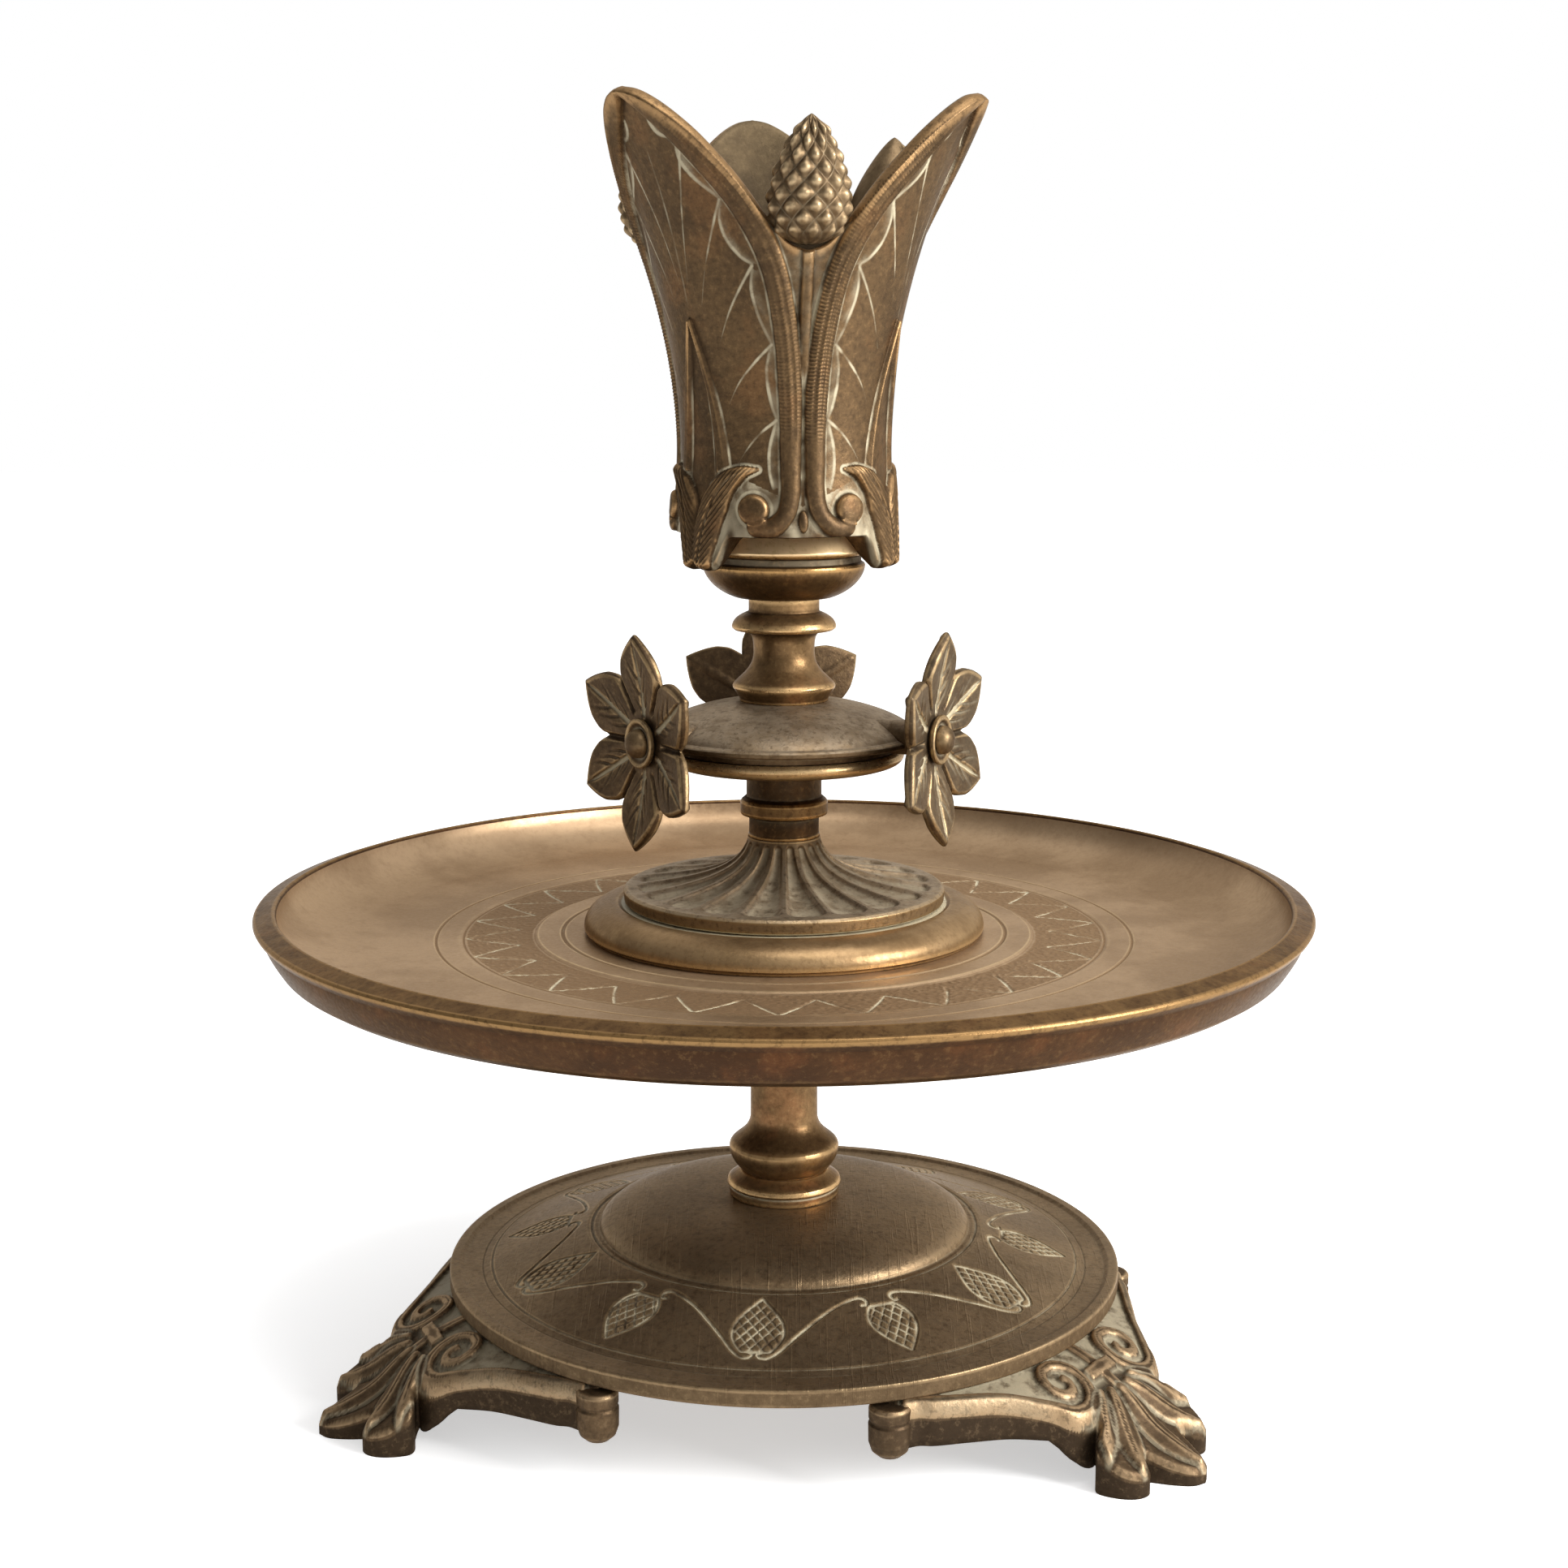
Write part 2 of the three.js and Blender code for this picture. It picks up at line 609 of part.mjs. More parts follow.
// Tray: shallow dish with a coved wall and a lip that slopes outwards
function tray() {
  const floor = traySeat + TRAY_FLOOR;
  const brim = traySeat + TRAY_DEPTH;
  const lipInner = TRAY_RADIUS - TRAY_LIP;
  const path = fromBore(traySeat);
  path.lineTo(TRAY_UNDER_RADIUS, traySeat);
  path.lineTo(TRAY_UNDER_RADIUS + 1.3, traySeat + 0.8);
  path.lineTo(TRAY_RADIUS - 2, traySeat + TRAY_DEPTH * 0.46);
  path.lineTo(TRAY_RADIUS - 1.2, brim - TRAY_LIP_DROP - 1.7);
  path.lineTo(TRAY_RADIUS - 0.3, brim - TRAY_LIP_DROP - 0.8);
  path.lineTo(TRAY_RADIUS, brim - TRAY_LIP_DROP);
  path.lineTo(lipInner, brim);
  path.bezierCurveTo(
    lipInner - 0.8, brim - 3,
    lipInner - 3.5, floor + 1,
    lipInner - 11, floor,
  );
  path.lineTo(TRAY_PANEL_RADIUS + TRAY_PANEL_RISE, floor);
  path.lineTo(TRAY_PANEL_RADIUS, floor + TRAY_PANEL_RISE);
  path.lineTo(BORE, floor + TRAY_PANEL_RISE);
  return turned(path, FINE);
}

function bossRing() {
  const path = fromBore(bossSeat);
  path.lineTo(BOSS_RADIUS - 0.5, bossSeat);
  path.lineTo(BOSS_RADIUS, bossSeat + 0.7);
  path.bezierCurveTo(
    BOSS_RADIUS + 0.1, bossSeat + BOSS_HEIGHT * 0.7,
    BOSS_RADIUS - 2.2, flareSeat,
    FLARE_RADIUS + 0.8, flareSeat,
  );
  path.lineTo(BORE, flareSeat);
  return turned(path, MEDIUM);
}

// Fluted foot of the stem: a wide flare whose flutes are hollowed between narrow ridges
function flutedFoot() {
  const rim = flareSeat + FLARE_EDGE;
  const flare = new THREE.CubicBezierCurve(
    new THREE.Vector2(FLARE_RADIUS * 0.9, rim + BEVEL),
    new THREE.Vector2(FLARE_RADIUS * 0.5, rim + FLARE_HEIGHT * 0.16),
    new THREE.Vector2(NECK_RADIUS + 1.6, rim + FLARE_HEIGHT * 0.27),
    new THREE.Vector2(NECK_RADIUS + BEVEL / 2, collarSeat),
  ).getPoints(3);
  const hollows = [0, FLUTE_DEPTH, FLUTE_DEPTH * 0.7, 0];
  const profile = [
    [BORE, flareSeat, 0],
    [FLARE_RADIUS - BEVEL, flareSeat, 0],
    [FLARE_RADIUS, rim - BEVEL, 0],
    [FLARE_RADIUS - BEVEL, rim, 0],
    ...flare.map(({ x, y }, i) => [x, y, hollows[i]]),
    [BORE, collarSeat, 0],
  ];
  return skin(profile.map(([reach, height, hollow]) => {
    const ring = [];
    for (let k = 0; k < FLUTE_COUNT * 3; k++) {
      const angle = (2 * Math.PI * k) / (FLUTE_COUNT * 3);
      const depth = k % 3 ? hollow : 0;
      const radius = reach - depth * (reach < FLARE_RADIUS / 2 ? 0.8 : 0.2);
      ring.push(new THREE.Vector3(
        radius * Math.cos(angle), radius * Math.sin(angle), height - depth * 0.6,
      ));
    }
    return ring;
  }), { loop: true });
}

function stemCollar() {
  const collar = collarSeat + COLLAR_DROP;
  const path = fromBore(collarSeat);
  path.lineTo(NECK_RADIUS, collarSeat);
  path.lineTo(NECK_RADIUS, collar);
  path.lineTo(COLLAR_RADIUS, collar + 0.5);
  path.lineTo(COLLAR_RADIUS, collar + COLLAR_HEIGHT - 0.6);
  path.lineTo(NECK_RADIUS + 0.4, collar + COLLAR_HEIGHT);
  path.lineTo(NECK_RADIUS + 0.4, knopRingSeat - 1);
  path.lineTo(NECK_RADIUS + 1.2, knopRingSeat);
  path.lineTo(BORE, knopRingSeat);
  return turned(path, SMALL);
}

function knopRing() {
  const path = fromBore(knopRingSeat);
  path.lineTo(KNOP_RING_RADIUS - 3, knopRingSeat);
  path.bezierCurveTo(
    KNOP_RING_RADIUS, knopRingSeat,
    KNOP_RING_RADIUS + 0.4, knopSeat - 0.6,
    KNOP_RING_RADIUS - 0.8, knopSeat,
  );
  path.lineTo(BORE, knopSeat);
  return turned(path, MEDIUM);
}

// Knop: cove, sharp edge and domed top, with three lugs that carry the flowers
function knopDisc() {
  const edge = knopSeat + KNOP_COVE;
  const path = fromBore(knopSeat);
  path.lineTo(KNOP_RING_RADIUS - 1, knopSeat);
  path.lineTo(KNOP_RING_RADIUS - 0.8, edge - 0.4);
  path.lineTo(KNOP_RADIUS, edge);
  path.lineTo(KNOP_RADIUS, edge + 0.6);
  path.bezierCurveTo(
    KNOP_RADIUS - 2, edge + 3.2,
    KNOP_RADIUS * 0.6, spoolSeat - 0.6,
    SPOOL_FOOT + 0.5, spoolSeat,
  );
  path.lineTo(BORE, spoolSeat);
  const lug = radialPin(LUG_RADIUS, KNOP_RING_RADIUS - 2, lugReach, flowerHeight);
  const hole = radialPin(
    FLOWER_SCREW_RADIUS + CLEARANCE,
    lugReach - FLOWER_SCREW_BITE - CLEARANCE, lugReach + 1, flowerHeight, 6,
  );
  const disc = joined(solid(turned(path, MEDIUM)), spun(lug, FLOWER_AZIMUTH));
  return surface(cut(disc, spun(hole, FLOWER_AZIMUTH)));
}

const flowerEye = FLOWER_SCREW_RADIUS + CLEARANCE;

// Front of a flower where its collar ring rests, just above the dished petals
function collarSeatReach() {
  const slope = (FLOWER_CUPPING * PETAL_WAIST ** 2) / (PETAL_WAIST * FLOWER_RADIUS - flowerEye);
  return lugReach + FLOWER_THICKNESS + slope * (FLOWER_COLLAR_RADIUS - flowerEye);
}

// Flower with pointed petals that cup outwards, each with a groove along its middle
function flower() {
  const across = [-0.72, -0.3, 0, 0.3, 0.72, 1];
  function ring(scale, front, groove = 0) {
    const points = [];
    for (let petal = 0; petal < FLOWER_PETALS; petal++) {
      for (const share of across) {
        const angle = (2 * Math.PI * (petal + share / 2)) / FLOWER_PETALS;
        const side = Math.abs(share);
        const tip = between(FLOWER_NOTCH, FLOWER_RADIUS, (1 - 0.8 * side) * (1 - side ** 12));
        const radius = scale * tip;
        const lift = FLOWER_CUPPING * (radius / FLOWER_RADIUS) ** 2;
        const depth = front ? FLOWER_THICKNESS - (side ? 0 : groove) : 0;
        points.push(new THREE.Vector3(
          lugReach + lift + depth,
          radius * Math.sin(angle),
          flowerHeight + radius * Math.cos(angle),
        ));
      }
    }
    return points;
  }
  function eye(front) {
    return ring(1, front).map((point) => {
      const flat = new THREE.Vector2(point.y, point.z - flowerHeight).setLength(flowerEye);
      const reach = lugReach + (front ? FLOWER_THICKNESS : 0);
      return new THREE.Vector3(reach, flat.x, flowerHeight + flat.y);
    });
  }
  return skin([
    eye(true), ring(PETAL_WAIST, true, PETAL_GROOVE), ring(1, true), ring(1, false), eye(false),
  ], { loop: true });
}

// Collar ring under the screw head, dished like a cup washer
function flowerCollar() {
  const path = new THREE.Path();
  path.moveTo(flowerEye, 0);
  path.lineTo(FLOWER_COLLAR_RADIUS - 0.3, 0);
  path.lineTo(FLOWER_COLLAR_RADIUS, FLOWER_COLLAR_HEIGHT);
  path.lineTo(FLOWER_SCREW_HEAD, FLOWER_COLLAR_HEIGHT / 2);
  path.lineTo(flowerEye, FLOWER_COLLAR_HEIGHT / 2);
  const ring = turned(path, TINY);
  return ring.rotateY(Math.PI / 2).translate(collarSeatReach(), 0, flowerHeight);
}

// Domed screw that holds a flower to its lug
function flowerScrew() {
  const seat = collarSeatReach() + FLOWER_COLLAR_HEIGHT / 2;
  const path = new THREE.Path();
  path.moveTo(0, lugReach - FLOWER_SCREW_BITE - seat);
  path.lineTo(FLOWER_SCREW_RADIUS, lugReach - FLOWER_SCREW_BITE - seat);
  path.lineTo(FLOWER_SCREW_RADIUS, 0);
  path.lineTo(FLOWER_SCREW_HEAD, 0);
  path.quadraticCurveTo(FLOWER_SCREW_HEAD, FLOWER_SCREW_HEAD, 0, FLOWER_SCREW_HEAD);
  const geometry = new THREE.LatheGeometry(path.getPoints(3), TINY).rotateX(Math.PI / 2);
  return closed(geometry).rotateY(Math.PI / 2).translate(seat, 0, flowerHeight);
}

// Spool: bevelled foot, sharp flange, drawn-in waist and a bead under a plain neck
function upperSpool() {
  const path = fromBore(spoolSeat);
  path.lineTo(SPOOL_FOOT, spoolSeat);
  path.lineTo(SPOOL_FOOT + 0.2, spoolSeat + 0.9);
  path.lineTo(SPOOL_FLANGE, spoolSeat + 2.2);
  path.bezierCurveTo(
    SPOOL_FLANGE - 0.2, spoolSeat + 3.6,
    SPOOL_WAIST, spoolSeat + 4.4,
    SPOOL_WAIST, spoolSeat + 7.2,
  );
  path.quadraticCurveTo(SPOOL_WAIST, spoolSeat + 9.6, SPOOL_WAIST + 1, spoolSeat + 10.2);
  path.lineTo(SPOOL_BEAD - 0.3, spoolSeat + 10.5);
  path.lineTo(SPOOL_BEAD, spoolSeat + 11.1);
  path.quadraticCurveTo(SPOOL_BEAD - 0.4, spoolSeat + 12.4, NECK_RADIUS, spoolSeat + 13.2);
  path.lineTo(NECK_RADIUS, bowlSeat);
  path.lineTo(BORE, bowlSeat);
  return turned(path, SMALL);
}

function cupBowl() {
  const edge = bowlSeat + BOWL_DEPTH;
  const path = fromBore(bowlSeat);
  path.lineTo(BOWL_FOOT, bowlSeat);
  path.bezierCurveTo(
    BOWL_FOOT + 2.4, bowlSeat + 0.7,
    BOWL_RADIUS - 0.2, edge - 2.4,
    BOWL_RADIUS, edge - 0.3,
  );
  path.lineTo(BOWL_RADIUS - 0.6, edge + 0.4);
  path.lineTo(BOWL_RADIUS - 0.6, edge + 1.2);
  path.lineTo(BOWL_BAND_RADIUS, edge + 1.7);
  path.lineTo(BOWL_BAND_TOP, cupSeat);
  path.lineTo(BORE, cupSeat);
  return turned(path, MEDIUM);
}

// Outside of the leaf cup: a bell at the foot, a waist, and a wide flare to the leaf tips
const cupBell = new THREE.CubicBezierCurve(
  new THREE.Vector2(CUP_FOOT_RADIUS, cupBottom),
  new THREE.Vector2(CUP_FOOT_RADIUS, cupBottom + CUP_WAIST_HEIGHT * 0.28),
  new THREE.Vector2(CUP_WAIST_RADIUS, cupBottom + CUP_WAIST_HEIGHT * 0.65),
  new THREE.Vector2(CUP_WAIST_RADIUS, cupBottom + CUP_WAIST_HEIGHT),
);
const cupFlare = new THREE.CubicBezierCurve(
  new THREE.Vector2(CUP_WAIST_RADIUS, cupBottom + CUP_WAIST_HEIGHT),
  new THREE.Vector2(between(CUP_WAIST_RADIUS, CUP_MOUTH_RADIUS, 0.013),
    cupBottom + between(CUP_WAIST_HEIGHT, CUP_HEIGHT, 0.42)),
  new THREE.Vector2(between(CUP_WAIST_RADIUS, CUP_MOUTH_RADIUS, 0.648),
    cupBottom + between(CUP_WAIST_HEIGHT, CUP_HEIGHT, 0.9)),
  new THREE.Vector2(CUP_MOUTH_RADIUS, cupBottom + CUP_HEIGHT),
);
const cupOutside = [...cupBell.getPoints(24), ...cupFlare.getPoints(48).slice(1)];

function cupRadius(height) {
  const next = cupOutside.findIndex((point) => point.y >= height);
  if (next === -1) return CUP_MOUTH_RADIUS;
  if (next === 0) return CUP_FOOT_RADIUS;
  const [low, high] = [cupOutside[next - 1], cupOutside[next]];
  return between(low.x, high.x, (height - low.y) / (high.y - low.y));
}

// A point on the cup, from its sideways distance to a valley's middle and its height,
// with the direction that points out of the surface there
function onCup(sideways, height) {
  const slope = cupRadius(height + 0.5) - cupRadius(height - 0.5);
  const radius = cupRadius(height);
  const angle = Math.asin(THREE.MathUtils.clamp(sideways / radius, -1, 1));
  const normal = new THREE.Vector3(Math.cos(angle), Math.sin(angle), -slope).normalize();
  return {
    point: new THREE.Vector3(radius * Math.cos(angle), radius * Math.sin(angle), height),
    normal,
  };
}

// A raised strip on the cup through (sideways, height) pairs, with a half width along it
function cupStrip(track, halfWidth, height) {
  const places = track.map(([sideways, z]) => onCup(sideways, z));
  return swept(places.map(({ point, normal }, i) => {
    const ahead = places[Math.min(i + 1, places.length - 1)].point;
    const behind = places[Math.max(i - 1, 0)].point;
    const along = ahead.clone().sub(behind).normalize();
    const across = normal.clone().cross(along).normalize();
    return {
      centre: point,
      across: across.multiplyScalar(halfWidth(i / (track.length - 1))),
      up: normal.clone().multiplyScalar(height),
    };
  }));
}

// A (sideways, height) pair from an angle to the valley's middle and a rise over the cup's foot
function cupSpot(angle, rise) {
  const height = cupBottom + rise;
  return [cupRadius(height) * Math.sin(angle * DEGREE), height];
}

// The same strip on the left or the right of the valley
function onHand(hand, track) {
  return track.map(([sideways, height]) => [hand * sideways, height]);
}

// Edge of the opening between two leaves, from the valley's end up to a leaf tip
function leafEdge() {
  const valley = cupBottom + VALLEY_HEIGHT;
  const rise = CUP_HEIGHT - VALLEY_HEIGHT;
  const spread = CUP_MOUTH_RADIUS * Math.sin(60 * DEGREE);
  return new THREE.CubicBezierCurve(
    new THREE.Vector2(spread * 0.06, valley),
    new THREE.Vector2(spread * 0.2, valley + rise * 0.37),
    new THREE.Vector2(spread * 0.58, valley + rise * 0.8),
    new THREE.Vector2(spread * 1.02, valley + rise),
  );
}

function leafGap() {
  const edge = leafEdge().getPoints(5);
  const top = cupBottom + CUP_HEIGHT + RIB_WIDTH;
  const shape = new THREE.Shape();
  edge.forEach((point, i) => (i ? shape.lineTo(point.x, point.y) : shape.moveTo(point.x, point.y)));
  shape.lineTo(CUP_MOUTH_RADIUS, top);
  shape.lineTo(-CUP_MOUTH_RADIUS, top);
  [...edge].reverse().forEach((point) => shape.lineTo(-point.x, point.y));
  return radialPrism(shape, CUP_MOUTH_RADIUS * 1.5);
}

// The skirt between two leaf feet is cut back to the bowl's top
function skirtGap() {
  const half = CUP_FOOT_RADIUS * 0.64;
  const shape = new THREE.Shape();
  shape.moveTo(-half, cupSeat);
  shape.lineTo(half, cupSeat);
  shape.quadraticCurveTo(half + 0.9, cupSeat - CUP_SKIRT * 0.4, half + 1.2, cupBottom - 1);
  shape.lineTo(-half - 1.2, cupBottom - 1);
  shape.quadraticCurveTo(-half - 0.9, cupSeat - CUP_SKIRT * 0.4, -half, cupSeat);
  return radialPrism(shape, CUP_MOUTH_RADIUS * 1.5);
}

// Rib along a leaf's edge: from the tip into the valley, down its side and under the volute
function leafRib(hand) {
  const edge = leafEdge();
  const inset = RIB_WIDTH * 0.4;
  const tip = CUP_MOUTH_RADIUS * Math.sin(60 * DEGREE);
  const course = [1, 0.85, 0.66, 0.45, 0.25].map((share) => {
    const point = edge.getPoint(share);
    const along = edge.getTangent(share);
    return new THREE.Vector2(Math.min(point.x + along.y * inset, tip), point.y - along.x * inset);
  });
  const lower = [
    [14.2, 44.2], [9.8, 36.5], [7.2, 28.5], [6.4, 18.5],
    [6.4, EYE_RISE + 4.8], [8, EYE_RISE + 0.4], [14, EYE_RISE - 1.5], [EYE_ANGLE - 3, EYE_RISE - 2],
  ];
  lower.forEach(([angle, rise]) => course.push(new THREE.Vector2(...cupSpot(angle, rise))));
  const track = new THREE.SplineCurve(course).getPoints(8).map(({ x, y }) => [x, y]);
  const halfWidth = (share) => (RIB_WIDTH / 2) * Math.min(1, 0.4 + share * 4, 2.2 - share * 1.6);
  return cupStrip(onHand(hand, track), halfWidth, RIB_HEIGHT);
}

// Round button that ends a rib beside the valley's foot
function voluteEye(hand) {
  const [sideways, height] = cupSpot(EYE_ANGLE, EYE_RISE);
  const { point, normal } = onCup(hand * sideways, height);
  const eye = new THREE.CylinderGeometry(EYE_RADIUS * 0.8, EYE_RADIUS, RIB_HEIGHT * 2.4, TINY);
  const outwards = new THREE.Quaternion().setFromUnitVectors(new THREE.Vector3(0, 1, 0), normal);
  return eye.applyQuaternion(outwards).translate(point.x, point.y, point.z);
}

// Small leaf over the foot of a large one: a point above the volute, a round end at the foot
function footLeaf(hand) {
  const track = [[24.5, 14.3], [38, 12.4], [47, 8.8], [51.5, 4.8], [53, 0.8]];
  const spots = onHand(hand, track.map((pair) => cupSpot(...pair)));
  const swell = (share) => Math.sin(Math.PI * between(0.06, 0.75, share));
  return cupStrip(spots, (share) => (FOOT_LEAF_WIDTH / 2) * swell(share), LEAF_RELIEF);
}

// Stalk that rises from a small leaf to the middle of the large one
function stalk(hand) {
  const track = [[44.4, 13.6], [50, 24.2], [54.5, 29.5], [59.4, 35]];
  const spots = onHand(hand, track.map((pair) => cupSpot(...pair)));
  return cupStrip(spots, (share) => (STALK_WIDTH / 2) * between(1, 0.15, share), STALK_RELIEF);
}

// Stem of the pine cone, up the middle of the valley
function coneStem() {
  const track = [23.5, 31.5, 37.5, 46.5].map((rise) => [0, cupBottom + rise]);
  return cupStrip(track, () => STEM_WIDTH / 2, STEM_WIDTH / 2);
}

// Pine cone, leaning out, with scales cut as diamonds: every second grid point stands proud
function pineCone() {
  const around = 10;
  const rows = 7;
  const foot = cupBottom + VALLEY_HEIGHT - 0.6;
  const rings = [];
  for (let row = 0; row <= rows; row++) {
    const share = row / rows;
    const centre = PINE_REACH + PINE_LEAN * share;
    const swell = Math.max(Math.sin(Math.PI * share ** 0.6), 0) ** 0.7;
    const radius = Math.max(PINE_RADIUS * swell, 0.5);
    const ring = [];
    for (let k = 0; k < around; k++) {
      const proud = (row + k) % 2 && row > 0 && row < rows ? 0.55 : 0;
      const angle = (2 * Math.PI * k) / around;
      ring.push(new THREE.Vector3(
        centre + (radius + proud) * Math.cos(angle),
        (radius + proud) * Math.sin(angle),
        foot + CONE_LENGTH * share,
      ));
    }
    rings.push(ring);
  }
  return skin(rings, { flip: (row, k) => (row + k) % 2 === 0 });
}

// Leaf cup: three leaves in one casting, with a rib round each valley between them and
// a pine cone on a stem in the valley
function leafCup() {
  const inside = (points) => points.map((point) => new THREE.Vector2(point.x - CUP_WALL, point.y));
  const boreRadius = CUP_WAIST_RADIUS - CUP_WALL;
  const path = [
    new THREE.Vector2(BORE, cupSeat),
    new THREE.Vector2(cupRadius(cupSeat) - CUP_WALL, cupSeat),
    new THREE.Vector2(CUP_FOOT_RADIUS - CUP_WALL, cupBottom + CUP_WALL / 2),
    new THREE.Vector2(CUP_FOOT_RADIUS - CUP_WALL / 2, cupBottom),
    ...cupBell.getPoints(2),
    ...cupFlare.getPoints(4).slice(1),
    ...inside(cupFlare.getPoints(3)).reverse(),
    new THREE.Vector2(boreRadius, cupSeat + CUP_FLOOR),
    new THREE.Vector2(NUT_BOSS_RADIUS, cupSeat + CUP_FLOOR),
    new THREE.Vector2(NUT_BOSS_RADIUS, upperNutSeat),
    new THREE.Vector2(BORE, upperNutSeat),
    new THREE.Vector2(BORE, cupSeat),
  ];
  const valley = LEAF_AZIMUTH + 180 / THREEFOLD;
  const bell = new THREE.LatheGeometry(path, MEDIUM).rotateX(Math.PI / 2).rotateZ(turn(valley));
  const shell = solid(bell);
  const gaps = [leafGap(), skirtGap()].flatMap((gap) => spun(gap, valley));
  const relief = [coneStem(), pineCone()];
  for (const hand of [-1, 1]) {
    relief.push(leafRib(hand), voluteEye(hand), footLeaf(hand), stalk(hand));
  }
  return surface(joined(cut(shell, gaps), relief.flatMap((piece) => spun(piece, valley))));
}

function rodPiece(radius, from, to, sides) {
  const geometry = new THREE.CylinderGeometry(radius, radius, to - from, sides);
  return closed(geometry.rotateX(Math.PI / 2).translate(0, 0, (from + to) / 2));
}

function nut(from) {
  const hexagon = new THREE.Shape();
  for (let k = 0; k < 6; k++) {
    const angle = (k * Math.PI) / 3;
    const [x, y] = [NUT_RADIUS * Math.cos(angle), NUT_RADIUS * Math.sin(angle)];
    if (k) hexagon.lineTo(x, y);
    else hexagon.moveTo(x, y);
  }
  hexagon.holes.push(new THREE.Path().absarc(0, 0, BORE, 0, 2 * Math.PI, true));
  const options = { depth: NUT_HEIGHT, bevelEnabled: false, curveSegments: 12 };
  return closed(new THREE.ExtrudeGeometry(hexagon, options).translate(0, 0, from));
}

function washer(from) {
  const path = new THREE.Path();
  path.moveTo(BORE, from);
  path.lineTo(WASHER_RADIUS, from);
  path.lineTo(WASHER_RADIUS, from + WASHER_HEIGHT);
  path.lineTo(BORE, from + WASHER_HEIGHT);
  return turned(path, SMALL);
}

// Tie rod and what clamps the stack on it
const washerSeat = hubUnder - WASHER_HEIGHT;
const lowerNutSeat = washerSeat - NUT_HEIGHT;
const upperNutSeat = cupSeat + CUP_FLOOR + NUT_BOSS_HEIGHT;
const rodTop = upperNutSeat + NUT_HEIGHT + ROD_END;
add('tie_rod', rodPiece(ROD_RADIUS, lowerNutSeat - ROD_END, rodTop, 12), finish.iron);
add('base_washer', washer(washerSeat), finish.iron);
add('base_nut', nut(lowerNutSeat), finish.iron);
add('cup_nut', nut(upperNutSeat), finish.brass);

// Stack, from the base to the cup
add('base_disc', baseDisc(), finish.bronze);
add('base_ring', baseRing(), finish.brass);
add('lower_baluster', lowerBaluster(), finish.brass);
add('tray', tray(), finish.tray);
add('boss_ring', bossRing(), finish.brass);
add('fluted_foot', flutedFoot(), finish.dark);
add('stem_collar', stemCollar(), finish.brass);
add('knop_ring', knopRing(), finish.brass);
add('knop_disc', knopDisc(), finish.bronze);
add('upper_spool', upperSpool(), finish.brass);
add('cup_bowl', cupBowl(), finish.bronze);
add('leaf_cup', leafCup(), finish.bronze);

// Three feet, each with its screw, and three flowers, each with its collar and screw
const foot = footBody();
for (let k = 0; k < THREEFOLD; k++) {
  const at = new THREE.Group();
  at.rotation.z = turn(FOOT_AZIMUTH, k);
  candlestick.add(at);
  add(`foot_${k + 1}`, foot.clone(), finish.dark, at);
  add(`foot_screw_${k + 1}`, footScrew(), finish.iron, at);
  const petalsAt = new THREE.Group();
  petalsAt.rotation.z = turn(FLOWER_AZIMUTH, k);
  candlestick.add(petalsAt);
  add(`flower_${k + 1}`, flower(), finish.dark, petalsAt);
  add(`flower_collar_${k + 1}`, flowerCollar(), finish.bronze, petalsAt);
  add(`flower_screw_${k + 1}`, flowerScrew(), finish.brass, petalsAt);
}

export default candlestick;
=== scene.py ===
"""Looks of the cast candlestick: the solids' shapes with their engraving, relief and patina.

Everything is modelled in millimetres in the frame of the solids and scaled to metres
when a mesh is made. Azimuths count from the front (-Y) towards +X, in degrees.
A shape is a tuple of points, faces, edge and pale: edge tells raised from sunken
places, and is set low on some faces to paint shade; pale is the residue that lies in them.
"""
import math

import bpy
import numpy as np
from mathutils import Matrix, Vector


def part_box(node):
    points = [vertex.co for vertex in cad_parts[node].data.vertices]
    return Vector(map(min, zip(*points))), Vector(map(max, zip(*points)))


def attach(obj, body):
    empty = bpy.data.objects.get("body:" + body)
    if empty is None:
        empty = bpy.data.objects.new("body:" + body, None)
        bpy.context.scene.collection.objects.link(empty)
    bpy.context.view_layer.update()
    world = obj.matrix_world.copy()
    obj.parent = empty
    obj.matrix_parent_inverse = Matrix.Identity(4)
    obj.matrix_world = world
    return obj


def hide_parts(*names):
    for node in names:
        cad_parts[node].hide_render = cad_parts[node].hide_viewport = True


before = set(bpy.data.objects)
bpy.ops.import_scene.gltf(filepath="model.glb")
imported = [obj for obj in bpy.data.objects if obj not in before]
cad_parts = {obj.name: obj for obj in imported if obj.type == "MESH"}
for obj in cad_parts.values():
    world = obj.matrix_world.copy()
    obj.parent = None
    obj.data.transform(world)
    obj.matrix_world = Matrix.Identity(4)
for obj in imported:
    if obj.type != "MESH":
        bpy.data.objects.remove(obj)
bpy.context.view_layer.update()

MM = 0.001
FOOT_AZIMUTH = 53.0
FLOWER_AZIMUTH = 64.5
VALLEY_AZIMUTH = 10.0
ENGRAVING_AZIMUTH = -5.5
FLOWER_HEIGHT = 98.1
LUG_REACH = 22.8
BORE = 3
COARSE, FINE = 480, 1440
rng = np.random.default_rng(7)


# Sizes of the solids

def seat(node):
    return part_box(node)[0].z / MM


def top(node):
    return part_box(node)[1].z / MM


def tall(node):
    return top(node) - seat(node)


def radius_of(node):
    lo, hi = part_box(node)
    return max(abs(lo.y), abs(hi.y)) / MM


# Curves in a plane

def bezier(p0, p1, p2, p3, count=12):
    t = np.linspace(0, 1, count + 1)[:, None]
    p0, p1, p2, p3 = (np.array(p, float) for p in (p0, p1, p2, p3))
    return (1 - t) ** 3 * p0 + 3 * (1 - t) ** 2 * t * p1 + 3 * (1 - t) * t ** 2 * p2 + t ** 3 * p3


